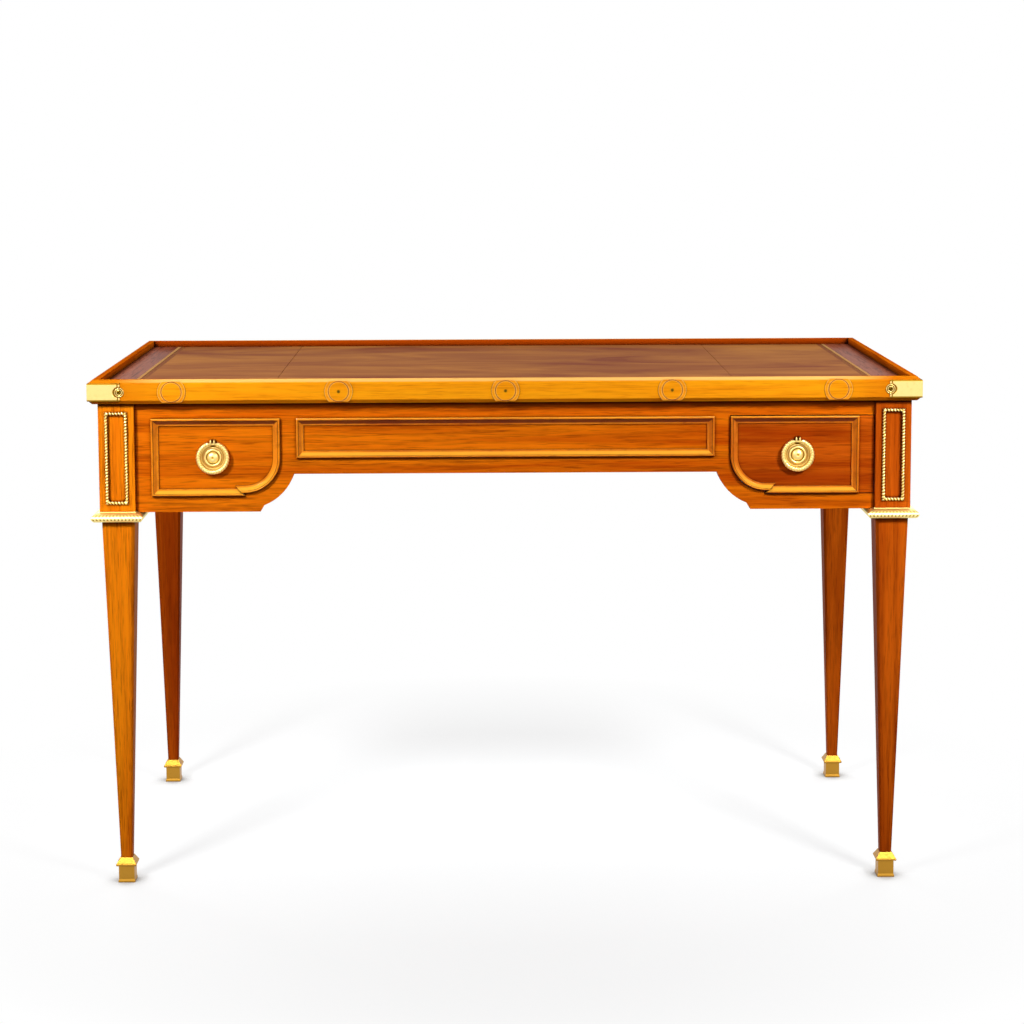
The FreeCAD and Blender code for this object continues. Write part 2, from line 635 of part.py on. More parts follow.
def drawer_sides():
    """Two side boards, grooved for the bottom."""
    sides = []
    for x in (BOX_INNER, BOX_OUTER - DRAWER_WALL):
        board = box(x, x + DRAWER_WALL, -INNER_Y, BOX_BACK, BOX_BOTTOM, BOX_TOP)
        sides.append(board.cut(drawer_bottom()))
    return sides


def drawer_back():
    """Back board between the sides, standing on the bottom."""
    low = BOX_BOTTOM + DRAWER_BOTTOM_RISE + DRAWER_BOTTOM
    return box(BOX_INNER + DRAWER_WALL, BOX_OUTER - DRAWER_WALL, BOX_BACK - DRAWER_WALL, BOX_BACK,
               low, BOX_TOP)


# Well and drawer bays

def well_floor_board():
    """Floor of the well, let into the partitions."""
    x = WELL_X + WELL_GROOVE
    return box(-x, x, -STOP_Y, STOP_Y, WELL_FLOOR_UNDER, WELL_FLOOR_TOP)


def well_points():
    """Inlaid points, front and back rows of both tables, as light and dark lists in turn."""
    pitch = (WELL_X - WELL_BAR_WIDTH / 2) / POINTS_PER_TABLE
    half = (pitch - POINT_GAP) / 2
    kinds = [[], []]
    for place in range(2 * POINTS_PER_TABLE):
        side = 1 if place >= POINTS_PER_TABLE else -1
        step = place % POINTS_PER_TABLE + 0.5
        x = side * (WELL_BAR_WIDTH / 2 + step * pitch)
        face = polygon([V(x - half, -STOP_Y, WELL_FLOOR_TOP), V(x + half, -STOP_Y, WELL_FLOOR_TOP),
                        V(x, -POINT_SPACE / 2, WELL_FLOOR_TOP)])
        point = face.extrude(V(0, 0, -POINT_THICKNESS))
        shade = (place + (side > 0)) % 2
        kinds[shade] += [point, turned(point)]
    return kinds


def right_partition():
    """Wall between the well and the right-hand drawer bay, up to the boards of the top."""
    low = min(BAY_FLOOR_TOP - BAY_FLOOR, WELL_FLOOR_UNDER - WELL_GROOVE)
    wall = box(WELL_X, PARTITION_FACE, -STOP_Y, INNER_Y, low, LEDGE_LEVEL)
    return wall.cut(well_floor_board())


def well_bar():
    """Low bar between the two tables of the well."""
    half = WELL_BAR_WIDTH / 2
    return box(-half, half, -INNER_Y, INNER_Y, WELL_FLOOR_TOP, WELL_FLOOR_TOP + WELL_BAR_HEIGHT)


def right_bay_floor(legs):
    """Board that the front drawer slides on, notched round the posts."""
    board = box(PARTITION_FACE, INNER_X, -STOP_Y, INNER_Y, BAY_FLOOR_TOP - BAY_FLOOR, BAY_FLOOR_TOP)
    return board.cut(legs)


def right_guides():
    """Side guide on the bay floor, and kickers over both drawer sides."""
    guide_x = BOX_OUTER + SLIDE_CLEARANCE
    low = BOX_TOP + KICKER_GAP
    guide = box(guide_x, guide_x + GUIDE_WIDTH, -POST_INNER_Y, POST_INNER_Y,
                BAY_FLOOR_TOP, BAY_FLOOR_TOP + GUIDE_HEIGHT)
    inner_kicker = box(PARTITION_FACE, PARTITION_FACE + GUIDE_WIDTH, -STOP_Y, INNER_Y, low, LEDGE_LEVEL)
    outer_kicker = box(BOX_OUTER - GUIDE_WIDTH, INNER_X, -POST_INNER_Y, POST_INNER_Y, low, LEDGE_LEVEL)
    return [guide, inner_kicker, outer_kicker]


# Top

def top_rail(half_length, half_depth):
    """Mitred front rail of a frame: bevelled outer edges, a rim, and a ledge for the boards."""
    high = EDGE_HEIGHT - EDGE_BEVEL
    width = RIM_WIDTH + LEDGE_WIDTH
    section = [(EDGE_BEVEL, 0), (width, 0), (width, LEDGE_HEIGHT), (RIM_WIDTH, LEDGE_HEIGHT),
               (RIM_WIDTH, EDGE_HEIGHT), (EDGE_BEVEL, EDGE_HEIGHT), (0, high), (0, EDGE_BEVEL)]
    bar = polygon([V(-half_length, w - half_depth, EDGE_BOTTOM + h) for w, h in section])
    plan = [(half_length, 0), (half_length - width, width), (width - half_length, width), (-half_length, 0)]
    mitred = polygon([V(x, w - half_depth, EDGE_BOTTOM) for x, w in plan])
    return bar.extrude(V(2 * half_length, 0, 0)).common(mitred.extrude(V(0, 0, EDGE_HEIGHT)))


def strap_screw_places():
    """Boss centres on the outer faces of the front right strap, each with its inward direction."""
    return [(V(STRAP_X - STRAP_LENGTH, -STRAP_Y, EDGE_MIDDLE), V(0, 1, 0)),
            (V(STRAP_X, STRAP_LENGTH - STRAP_Y, EDGE_MIDDLE), V(-1, 0, 0))]


def corner_strap():
    """Brass corner plate planted over the front right mitre, with a screw boss at each end."""
    half = EDGE_HEIGHT / 2 - EDGE_BEVEL - STRAP_MARGIN
    low = EDGE_MIDDLE - half
    high = EDGE_MIDDLE + half
    front = box(STRAP_X - STRAP_LENGTH, STRAP_X, -STRAP_Y, STRAP_THICKNESS - STRAP_Y, low, high)
    side = box(STRAP_X - STRAP_THICKNESS, STRAP_X, -STRAP_Y, STRAP_LENGTH - STRAP_Y, low, high)
    bosses = [rod(STRAP_BOSS / 2, spot, spot + inward * STRAP_THICKNESS)
              for spot, inward in strap_screw_places()]
    return front.fuse([side] + bosses).removeSplitter()


def strap_screws():
    """Screw heads on the bosses of the front right strap."""
    return [rod(STRAP_SCREW_HEAD / 2, spot, spot - inward * STRAP_SCREW_RISE)
            for spot, inward in strap_screw_places()]


def roundel(x, rail):
    """Turned boss over both bevels of the front edge: a disc on a low ring, trimmed to its height."""
    face = V(x, -ROUNDEL_Y, EDGE_MIDDLE)
    step = V(x, ROUNDEL_STEP - ROUNDEL_Y, EDGE_MIDDLE)
    back = V(x, EDGE_BEVEL - TOP_DEPTH / 2, EDGE_MIDDLE)
    half = EDGE_HEIGHT / 2 - ROUNDEL_TRIM
    band = box(x - ROUNDEL_DIAMETER, x + ROUNDEL_DIAMETER, face.y, back.y,
               EDGE_MIDDLE - half, EDGE_MIDDLE + half)
    disc = rod(ROUNDEL_DIAMETER / 2 - ROUNDEL_RING, face, step)
    return rod(ROUNDEL_DIAMETER / 2, step, back).common(band).cut(rail).fuse(disc)


def roundel_pin(x):
    """Head of the brass pin in the middle of a roundel."""
    return rod(PIN_DIAMETER / 2, V(x, -ROUNDEL_Y - PIN_PROUD, EDGE_MIDDLE), V(x, -ROUNDEL_Y, EDGE_MIDDLE))


def end_board():
    """Fixed right-hand board of the top, from the seam to the rim."""
    return box(SEAM_X + PANEL_GAP / 2, RIM_X, -RIM_Y, RIM_Y, LEDGE_LEVEL, SKIN_BED)


def skin_strip(x0, x1):
    """Thin covering on the top's boards, between the front and back rims."""
    return box(x0, x1, -RIM_Y, RIM_Y, SKIN_BED, LEATHER_LEVEL)


def games_panel(z0, z1):
    """One layer of the lift-out panel, clear of the rims and the seams."""
    x = SEAM_X - PANEL_GAP / 2
    y = RIM_Y - PANEL_GAP
    return box(-x, x, -y, y, z0, z1)


def export(node, *solids):
    """Writes one node, whole or as a group of like pieces."""
    shape = solids[0] if len(solids) == 1 else Part.makeCompound(list(solids))
    shape.exportStep("parts/%s.step" % node)


def main():
    os.makedirs("parts", exist_ok=True)
    corners = ("front_left", "front_right", "back_left", "back_right")

    # Frieze, legs and leg brass
    right_leg = leg()
    whole_legs = four_corners(right_leg)
    plate = pull_plate()
    sham_plate = flipped_x(plate)
    front = front_frieze().cut(sham_plate)
    back = turned(front)
    right = right_frieze()
    left = flipped_x(right)
    for corner, shape in zip(corners, whole_legs):
        export("leg_" + corner, shape.cut([front, back, left, right]))
    export("leg_collars", *four_corners(collar(right_leg)))
    export("sabots", *four_corners(sabot(right_leg)))
    export("post_rope_frames", *[copy for frame in rope_frames() for copy in four_corners(frame)])
    export("front_frieze", front)
    export("back_frieze", back)
    export("left_frieze", left)
    export("right_frieze", right)

    # Mouldings of the fixed panels
    knee_panel = panel_frame(-KNEE_PANEL_X, KNEE_PANEL_X, KNEE_PANEL_BOTTOM, PANEL_TOP, -FACE_Y,
                             frieze_profile())
    end_panel = right_panel_moulding()
    moulding = drawer_moulding()
    sham_moulding = flipped_x(moulding)
    export("front_panel_moulding", knee_panel)
    export("back_panel_moulding", turned(knee_panel))
    export("right_panel_moulding", end_panel)
    export("left_panel_moulding", flipped_x(end_panel))
    export("sham_drawer_mouldings", sham_moulding, turned(sham_moulding))

    # Ring pulls of the sham drawers
    ring = pull_ring()
    nut = pull_nut(plate)
    sham_ring = flipped_x(ring)
    sham_nut = flipped_x(nut)
    export("front_sham_pull_plate", sham_plate)
    export("back_sham_pull_plate", turned(sham_plate))
    export("front_sham_pull_ring", sham_ring)
    export("back_sham_pull_ring", turned(sham_ring))
    export("sham_pull_nuts", sham_nut, turned(sham_nut))

    # Drawers
    drawer = {
        "front": [drawer_front(plate)],
        "sides": drawer_sides(),
        "back": [drawer_back()],
        "bottom": [drawer_bottom()],
        "moulding": [moulding],
        "pull_plate": [plate],
        "pull_nut": [nut],
        "pull_ring": [ring],
    }
    for piece, solids in drawer.items():
        export("front_drawer_" + piece, *solids)
        export("back_drawer_" + piece, *[turned(solid) for solid in solids])

    # Well and drawer bays
    light_points, dark_points = well_points()
    partition = right_partition()
    bay_floor = right_bay_floor(whole_legs)
    guides = right_guides()
    export("well_floor", well_floor_board().cut(light_points + dark_points))
    export("well_points_light", *light_points)
    export("well_points_dark", *dark_points)
    export("well_partition_right", partition)
    export("well_partition_left", turned(partition))
    export("well_bar", well_bar())
    export("drawer_bay_floors", bay_floor, turned(bay_floor))
    export("drawer_guides", *guides, *[turned(strip) for strip in guides])

    # Top frame and its brass
    pitch = (TOP_LENGTH - 2 * ROUNDEL_END) / (ROUNDEL_COUNT - 1)
    places = [ROUNDEL_END - TOP_LENGTH / 2 + pitch * index for index in range(ROUNDEL_COUNT)]
    plain = (ROUNDEL_COUNT - PINNED_ROUNDELS) // 2
    pins = [roundel_pin(x) for x in places[plain:plain + PINNED_ROUNDELS]]
    pins += [turned(pin) for pin in pins]
    front_rail = top_rail(TOP_LENGTH / 2, TOP_DEPTH / 2)
    roundels = [roundel(x, front_rail) for x in places]
    roundels += [turned(boss) for boss in roundels]
    right_rail = turned(top_rail(TOP_DEPTH / 2, TOP_LENGTH / 2), 90)
    rails = {"front": front_rail, "back": turned(front_rail), "right": right_rail, "left": turned(right_rail)}
    for side, rail in rails.items():
        export("top_rail_" + side, rail)
    export("corner_straps", *four_corners(corner_strap()))
    export("strap_screws", *[copy for screw in strap_screws() for copy in four_corners(screw)])
    export("edge_roundels", *roundels)
    export("roundel_pins", *pins)

    # Fixed ends of the top
    strip_x = RIM_X - END_STRIP_WIDTH
    string_x = strip_x - STRINGING_WIDTH
    fixed = {
        "end_boards": end_board(),
        "end_strips": skin_strip(strip_x, RIM_X),
        "end_stringing": skin_strip(string_x, strip_x),
        "end_leathers": skin_strip(SEAM_X + PANEL_GAP / 2, string_x),
    }
    for node, shape in fixed.items():
        export(node, shape, flipped_x(shape))

    # Lift-out games panel: leather on one face, baize on the other
    seat = LEDGE_LEVEL + PANEL_SEAT_GAP
    export("games_panel_baize", games_panel(seat, seat + BAIZE))
    export("games_panel_board", games_panel(seat + BAIZE, SKIN_BED))
    export("games_panel_leather", games_panel(SKIN_BED, LEATHER_LEVEL))


main()
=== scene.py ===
import math

import bpy
import numpy as np
from bpy.props import FloatProperty, FloatVectorProperty, IntProperty, PointerProperty
from bpy.types import Operator, Panel, PropertyGroup
from mathutils import Matrix, Vector


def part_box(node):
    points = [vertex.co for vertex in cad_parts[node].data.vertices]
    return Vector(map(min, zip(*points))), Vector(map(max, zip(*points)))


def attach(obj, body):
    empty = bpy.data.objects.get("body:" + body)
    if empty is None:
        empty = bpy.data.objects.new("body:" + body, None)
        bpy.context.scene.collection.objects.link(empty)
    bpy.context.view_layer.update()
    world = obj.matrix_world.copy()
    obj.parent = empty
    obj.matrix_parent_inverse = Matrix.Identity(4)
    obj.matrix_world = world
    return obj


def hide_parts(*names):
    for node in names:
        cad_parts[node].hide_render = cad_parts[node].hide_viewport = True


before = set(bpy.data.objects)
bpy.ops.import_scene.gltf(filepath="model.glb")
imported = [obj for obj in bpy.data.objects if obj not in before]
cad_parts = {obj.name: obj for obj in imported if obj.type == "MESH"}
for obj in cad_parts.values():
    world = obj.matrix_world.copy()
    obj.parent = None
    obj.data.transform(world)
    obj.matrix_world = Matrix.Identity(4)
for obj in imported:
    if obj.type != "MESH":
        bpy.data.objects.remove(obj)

bl_info = {
    "name": "Games table looks",
    "version": (2, 0, 0),
    "blender": (4, 5, 0),
    "location": "3D View > Sidebar > Games table",
    "description": "Finishes and carved brass, leather and baize pieces of a neo-classical games table",
    "category": "Object",
}


def linear(code):
    """Linear RGB of an sRGB hex colour: c / 12.92 below 0.04045, else ((c + 0.055) / 1.055) ** 2.4."""
    srgb = np.array([int(code[i:i + 2], 16) for i in (1, 3, 5)]) / 255
    return tuple(np.where(srgb <= 0.04045, srgb / 12.92, ((srgb + 0.055) / 1.055) ** 2.4).tolist())


def length(name, description, metres):
    """Length that a user may change."""
    return FloatProperty(
        name=name, description=description, default=metres, unit="LENGTH", subtype="DISTANCE")


def share(name, description, part):
    """Share from 0 to 1 that a user may change."""
    return FloatProperty(name=name, description=description, default=part, min=0, max=1, subtype="FACTOR")


def angle(name, description, degrees):
    """Angle that a user may change."""
    return FloatProperty(
        name=name, description=description, default=math.radians(degrees), unit="ROTATION", subtype="ANGLE")


def number(name, description, count):
    """Count that a user may change."""
    return IntProperty(name=name, description=description, default=count, min=2)


def tone(name, description, code):
    """Colour that a user may change, from its sRGB hex code."""
    return FloatVectorProperty(
        name=name, description=description, default=linear(code), size=3, min=0, max=1, subtype="COLOR")


def watts(name, description, power):
    """Power of a light that a user may change."""
    return FloatProperty(name=name, description=description, default=power, unit="POWER")


# Places that the frame gives
leg_low, leg_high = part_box("leg_front_right")
rope_low, rope_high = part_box("post_rope_frames")
collar_low, collar_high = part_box("leg_collars")
rail_low, rail_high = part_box("top_rail_front")
strap_low, strap_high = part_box("corner_straps")
roundel_low, roundel_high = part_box("edge_roundels")
ring_low, ring_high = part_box("front_drawer_pull_ring")
panel_low, panel_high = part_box("games_panel_leather")
ends_low, ends_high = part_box("end_leathers")
baize_low, baize_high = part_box("games_panel_baize")

# Signs of X and Y at the four corners of the table
CORNERS = [(sx, sy) for sx in (-1, 1) for sy in (-1, 1)]

# Scale of the figure of a wood along X, Y and Z, which draws it out along the grain
LONG, CROSS, UPRIGHT = (0.045, 1.0, 1.0), (1.0, 0.045, 1.0), (1.0, 1.0, 0.045)


# Sizes and colours

class GamesTableSizes(PropertyGroup):
    """Lengths of the pieces that stand for plain CAD nodes."""

    post_face_x: length("Post face X", "Outer side faces of the corner posts, from the middle", leg_high.x)
    post_face_y: length("Post face Y", "Front and back faces of the corner posts, from the middle",
                        -leg_low.y)
    leg_x: length("Leg X", "Leg axis from the middle, along the table", (leg_low.x + leg_high.x) / 2)
    leg_y: length("Leg Y", "Leg axis from the middle, across the table", -(leg_low.y + leg_high.y) / 2)
    rope_middle: length("Rope middle", "Middle of a rope frame above the floor",
                        (rope_low.z + rope_high.z) / 2)
    rope_frame_width: length("Rope frame width", "Width of a rope frame, outside", 0.033)
    rope_frame_height: length("Rope frame height", "Height of a rope frame, outside",
                              rope_high.z - rope_low.z)
    rope_width: length("Rope width", "Width of the rope moulding", 0.0048)
    rope_rise: length("Rope rise", "Height of the front and back rope frames above the post", 0.0045)
    rope_rise_ends: length("Rope rise, ends", "Height of the rope frames on the ends above the post", 0.0014)
    rope_lay: length("Rope lay", "Distance from strand to strand along the rope", 0.0045)
    rope_groove: share("Rope groove", "Depth of the grooves between the strands, by the radius", 0.5)
    collar_top: length("Collar top", "Top of the leg collars above the floor", collar_high.z + 0.0020)
    collar_height: length("Collar height", "Height of the leg collars", collar_high.z - collar_low.z - 0.0004)
    collar_neck: length("Collar neck", "Half width of the collar's upper fillet", 0.0264)
    collar_widest: length("Collar widest", "Half width of the collar at its widest", 0.0372)
    collar_tuck: length("Collar tuck", "How far a collar draws in at its foot", 0.0040)
    collar_bore: length("Collar bore", "Half width of the square hole round the leg", 0.0241)
    collar_lobes: number("Collar lobes", "Leaves along one side of a collar", 14)
    collar_relief: length("Collar relief", "Depth of the grooves between the leaves", 0.0008)
    edge_x: length("Edge X", "Short faces of the top frame, from the middle", rail_high.x)
    edge_y: length("Edge Y", "Long faces of the top frame, from the middle", -rail_low.y)
    edge_z: length("Edge middle", "Middle of straps and roundels above the floor",
                   (strap_low.z + strap_high.z) / 2)
    edge_flat: length("Edge flat", "Half height of the flat band between the bevels of the edge", 0.012)
    edge_lip: length("Edge lip", "Inner side of the long rims, from the middle", 0.288)
    strap_half: length("Strap half height", "Half height of the corner straps, with their bevels", 0.0130)
    strap_thickness: length("Strap thickness", "Thickness of the corner straps", strap_high.x - rail_high.x)
    strap_reach: length("Strap reach", "Screw boss from the corner of the top frame", 0.0451)
    strap_bite: length("Strap bite", "Radius of the strap's hollow end round the boss", 0.0076)
    strap_bevel: length("Strap bevel", "Width of the bevel along the strap's edges", 0.0022)
    strap_groove: length("Strap groove", "Groove across the strap, from its end", 0.0034)
    boss_radius: length("Boss radius", "Radius of the turned boss round a screw", 0.0070)
    screw_radius: length("Screw radius", "Radius of a screw head", 0.0028)
    roundel_radius: length("Roundel radius", "Outer radius of a turned roundel", 0.0203)
    roundel_ring: length("Roundel ring", "Inner radius of a roundel's ring", 0.0152)
    roundel_half: length("Roundel half height", "Half height to which a roundel is trimmed",
                         (roundel_high.z - roundel_low.z) / 2 - 0.0015)
    roundel_reach: length("Roundel reach", "Outermost roundels from the middle", roundel_high.x - 0.0208)
    roundel_proud: length("Roundel proud", "Rise of a roundel's disc over the edge",
                          roundel_high.y + rail_low.y)
    face_x: length("Frieze face X", "Faces of the end friezes, from the middle", 0.580)
    face_y: length("Frieze face Y", "Faces of the long friezes, from the middle", 0.280)
    moulding_width: length("Moulding width", "Width of the panel mouldings", 0.0105)
    moulding_rise: length("Moulding rise", "Crest of the panel mouldings over the frieze", 0.0060)
    moulding_bead: length("Moulding bead", "Radius of the bead along the outer edge of a moulding", 0.0017)
    moulding_fillet: length("Moulding fillet", "Width of the flat fillet along the inner edge", 0.0021)
    corner_radius: length("Drawer corner", "Radius of the drawers' rounded lower corner", 0.051)
    nib_step: length("Nib step", "Step where the rounded corner meets the lower edge", 0.0042)
    pull_x: length("Pull X", "Pulls from the middle", (ring_low.x + ring_high.x) / 2)
    pull_y: length("Pull Y", "Plane of the hanging rings, from the middle", -(ring_low.y + ring_high.y) / 2)
    pull_z: length("Pull Z", "Middle of the hanging rings above the floor",
                   ring_low.z + (ring_high.x - ring_low.x) / 2)
    prong_x: length("Prong X", "Each prong of a lug, from the middle of its pull", 0.0026)
    prong_z: length("Prong Z", "Middle of the prongs above the middle of their pull", 0.0229)
    ring_radius: length("Ring radius", "Radius of a pull ring's centre line", 0.0210)
    ring_stuff: length("Ring stuff", "Thickness of a pull ring", ring_high.y - ring_low.y)
    ring_opening: angle("Ring opening", "Half angle of the ring's opening at the lug", 17.46)
    ring_leaves: number("Ring leaves", "Leaves along half a ring", 17)
    ring_relief: share("Ring relief", "Depth between the leaves, by the ring's thickness", 0.13)
    ring_pin: length("Ring pin", "Diameter of the pin through the lug", 0.003)
    leather_level: length("Leather level", "Top of the leather above the floor", panel_high.z)
    leather_thickness: length("Leather thickness", "Thickness of the leather", panel_high.z - panel_low.z)
    leather_swell: length("Leather swell", "Unevenness of the old leather", 0.00018)
    end_leather_inner: length("End leather, inner edge", "Inner edge of the end leathers, from the middle",
                              panel_high.x + 0.0008)
    end_leather_outer: length("End leather, outer edge", "Outer edge of the end leathers, from the middle",
                              ends_high.x)
    band_width: length("Tooled band", "Width of the tooled band at the outer ends of the leather", 0.008)
    baize_thickness: length("Baize thickness", "Thickness of the cloth", baize_high.z - baize_low.z)
    baize_swell: length("Baize swell", "Unevenness of the cloth", 0.00012)


class GamesTableColours(PropertyGroup):
    """Colours of the finishes."""

    amber_pale: tone("Amber mahogany, pale", "Pale figure of the friezes", "#EA780A")
    amber_deep: tone("Amber mahogany, deep", "Deep figure of the friezes", "#BE4A04")
    honey_pale: tone("Honey mahogany, pale", "Pale figure of the left front leg", "#F88A0E")
    honey_deep: tone("Honey mahogany, deep", "Deep figure of the left front leg", "#DC6608")
    russet_pale: tone("Russet mahogany, pale", "Pale figure of the drawer fronts and other legs", "#D4600E")
    russet_deep: tone("Russet mahogany, deep", "Deep figure of the drawer fronts and other legs", "#A23A05")
    # The pore tone is also painted shade: on the inner faces of the long rims, towards the ends of the long
    # edges, and on moulding slopes that look down
    pore: tone("Pores", "Pores and dark streaks of the mahogany", "#702504")
    edge_pale: tone("Top frame, pale", "Pale figure of the top frame", "#FFA814")
    edge_deep: tone("Top frame, deep", "Deep figure of the top frame", "#FC980E")
    # Painted highlight on the arris of the long edges and the lips of the roundels, in this tone
    edge_rubbed: tone("Top frame, rubbed", "Rubbed arris of the long edges and lips of the roundels",
                      "#FFC870")
    bead_pale: tone("Moulding, pale", "Pale figure of the mouldings", "#F08A14")
    bead_deep: tone("Moulding, deep", "Deep figure of the mouldings", "#D0620A")
    # Painted light on the slopes of the mouldings that look up, in this tone
    bead_upward_light: tone("Moulding, dusted", "Slopes of the mouldings that look up", "#FFB030")
    strip_pale: tone("End strip, pale", "Pale figure of the gloss mahogany", "#A65E42")
    strip_deep: tone("End strip, deep", "Deep figure of the gloss mahogany", "#88452E")
    # The wax tone is also painted shade: corners darkened by ambient occlusion, and a painted shadow under
    # the top frame and the collars
    wax: tone("Old wax", "Dark wax in corners and quirks", "#2C0E03")
    oak_pale: tone("Oak, pale", "Pale figure of the oak linings", "#C49B66")
    oak_deep: tone("Oak, deep", "Deep figure of the oak linings", "#94683A")
    boxwood: tone("Boxwood", "Pale inlay", "#C8945A")
    ebony: tone("Ebonised wood", "Dark inlay", "#2B211D")
    brass: tone("Brass", "Bright satin brass", "#F4D888")
    tarnish: tone("Tarnish", "Olive tarnish in the hollows of the brass", "#6E5210")
    gilt: tone("Gilding", "Pale gilding of the collars and ropes", "#FFEE9C")
    gilt_shade: tone("Gilt shade", "Deep gold between the leaves and in the quirks of the pulls", "#C8922A")
    aged_brass: tone("Aged brass", "Worn brass of the feet", "#B4832F")
    leather_pale: tone("Leather, worn", "Worn ochre patches of the leather", "#BC7A3C")
    leather_deep: tone("Leather, dark", "Dark patches of the leather", "#8A4A30")
    leather_band: tone("Leather, tooled band", "Tooled border at the ends of the leather", "#A07428")
    baize: tone("Baize", "Green wool cloth", "#1F5B36")


class GamesTableStage(PropertyGroup):
    """Camera, floor and lights."""

    camera_place: FloatVectorProperty(
        name="Camera", description="Place of the camera",
        default=(-0.0359, -3.623, 1.125), size=3, unit="LENGTH", subtype="TRANSLATION")
    camera_yaw: angle("Yaw", "Camera turned towards +X", 0.69)
    camera_pitch: angle("Pitch", "Camera tipped down", 6.00)
    camera_roll: angle("Roll", "Camera turned round its own axis", 0.19)
    camera_lens: FloatProperty(
        name="Lens", description="Focal length in millimetres on a 36 mm sensor",
        default=81.81, unit="CAMERA", subtype="DISTANCE_CAMERA")
    camera_shift: FloatVectorProperty(
        name="Shift", description="Sideways and upward shift of the picture, as a share of its width",
        default=(0.0036, -0.1477), size=2, subtype="XYZ")
    left_power: watts("Left light", "Softbox at the left front", 4.6)
    right_power: watts("Right light", "Softbox at the right front", 4.4)
    front_power: watts("Front light", "Wide screen behind the camera", 30.0)
    rear_power: watts("Rear lights", "Each of the two large softboxes behind the table", 29.0)
    spread: angle("Beam", "Spread of each front softbox, so that it lights its own end of the table", 60.0)
    room: FloatProperty(
        name="Room", description="Strength of the even light from all round", default=0.06, min=0)
    floor: tone("Floor", "Pale studio floor", "#A2A3A4")
    bounce: tone("Floor bounce", "Grey in which the floor throws light back on the table", "#5E5C5A")


def settings(context):
    """Sizes and colours that the operators work with."""
    return context.scene.games_table_sizes, context.scene.games_table_colours


def tones_of(colours, names):
    """Colours by their names, given in one string, with full alpha, as node sockets take them."""
    return [(*getattr(colours, name), 1.0) for name in names.split()]


# Nodes

def feed(tree, node, feeds):
    """Feeds a node's sockets with values or other nodes' outputs."""
    for key, value in feeds.items():
        if isinstance(value, bpy.types.NodeSocket):
            tree.links.new(value, node.inputs[key])
        else:
            node.inputs[key].default_value = value


def add(tree, kind, feeds=None, **options):
    """Adds a shader node, sets its properties, and feeds its sockets."""
    made = tree.nodes.new("ShaderNode" + kind)
    for key, value in options.items():
        setattr(made, key, value)
    feed(tree, made, feeds or {})
    return made


def ramp(tree, value, low, high, start=0.0, end=1.0):
    """Value carried from the range low to high over to the range start to end, and held at both."""
    feeds = {"Value": value, "From Min": low, "From Max": high, "To Min": start, "To Max": end}
    return add(tree, "MapRange", feeds).outputs["Result"]


def blend(tree, part, first, second):
    """Colour that goes from the first, where part is 0, to the second, where it is 1."""
    return add(tree, "Mix", {0: part, 6: first, 7: second}, data_type="RGBA").outputs[2]


def reckon(tree, operation, *values):
    """Result of a sum on one or two values."""
    return add(tree, "Math", dict(enumerate(values)), operation=operation).outputs["Value"]


def spot(tree):
    """Place of a point in its object, in metres."""
    return add(tree, "TexCoord").outputs["Object"]


def coordinate(tree, vector, axis):
    """One coordinate of a vector."""
    return add(tree, "SeparateXYZ", {"Vector": vector}).outputs[axis]


def drawn(tree, place, scale):
    """Place scaled along each axis, so that a pattern on it is drawn out along the grain."""
    return add(tree, "Mapping", {"Vector": place, "Scale": scale}).outputs["Vector"]


def noise(tree, place, scale, detail, **feeds):
    """Fractal noise from 0 to 1, with scale features to the metre."""
    return add(tree, "TexNoise", {"Vector": place, "Scale": scale, "Detail": detail, **feeds}).outputs["Fac"]


def cells(tree, place, scale):
    """Distance to the middle of the nearest cell, with scale cells to the metre."""
    return add(tree, "TexVoronoi", {"Vector": place, "Scale": scale}).outputs["Distance"]


def corners(tree, distance, low, high):
    """Open sky above a point, as a share of the range low to high: with low under high, 0 in corners."""
    near = add(tree, "AmbientOcclusion", {"Distance": distance}, samples=6)
    return ramp(tree, near.outputs["AO"], low, high)


def hollows(tree):
    """Tarnish, a painted highlight or a painted shadow that a piece's points carry, from 0 to 1."""
    return add(tree, "Attribute", attribute_name="hollow").outputs["Fac"]


def softened(tree, radius):
    """Normal with its sharp edges rounded over."""
    return add(tree, "Bevel", {"Radius": radius}, samples=4).outputs["Normal"]


def bumped(tree, height, strength, distance, invert=False, **feeds):
    """Normal of a surface raised, or sunk, by a pattern."""
    feeds = {"Height": height, "Strength": strength, "Distance": distance, **feeds}
    return add(tree, "Bump", feeds, invert=invert).outputs["Normal"]


def empty_tree(holder):
    """Node tree of a material or world, with nothing in it."""
    holder.use_nodes = True
    holder.node_tree.nodes.clear()
    return holder.node_tree


def finish(name):
    """New material with a Principled surface: (material, its node tree, the surface)."""
    material = bpy.data.materials.new(name)
    tree = empty_tree(material)
    surface = add(tree, "BsdfPrincipled")
    add(tree, "OutputMaterial", {"Surface": surface.outputs["BSDF"]})
    return material, tree, surface


# Materials

def edge_light_and_shade(tree, place, colour, pore, rubbed, lip):
    """Colour of a long edge of the top, with painted light and shade: darker towards its ends, with a painted
    highlight along the arris between them, and painted shade in the pore tone inside lip, a distance from the
    table's long axis."""
    out = reckon(tree, "ABSOLUTE", coordinate(tree, place, "X"))
    across = reckon(tree, "ABSOLUTE", coordinate(tree, place, "Y"))
    arris = ramp(tree, coordinate(tree, place, "Z"), rail_high.z - 0.0044, rail_high.z - 0.0030)
    middle_sheen = ramp(tree, out, 0.56, 0.48, end=0.85)
    # Painted falloff of the sheen: darker towards the ends
    colour = blend(tree, ramp(tree, out, 0.47, 0.56, end=0.5), colour, pore)
    # Painted highlight along the arris, brightest in the middle
    colour = blend(tree, reckon(tree, "MULTIPLY", arris, middle_sheen), colour, rubbed)
    # Painted shade on the inner face of the rim
    return blend(tree, ramp(tree, across, lip + 0.001, lip - 0.001), colour, pore)


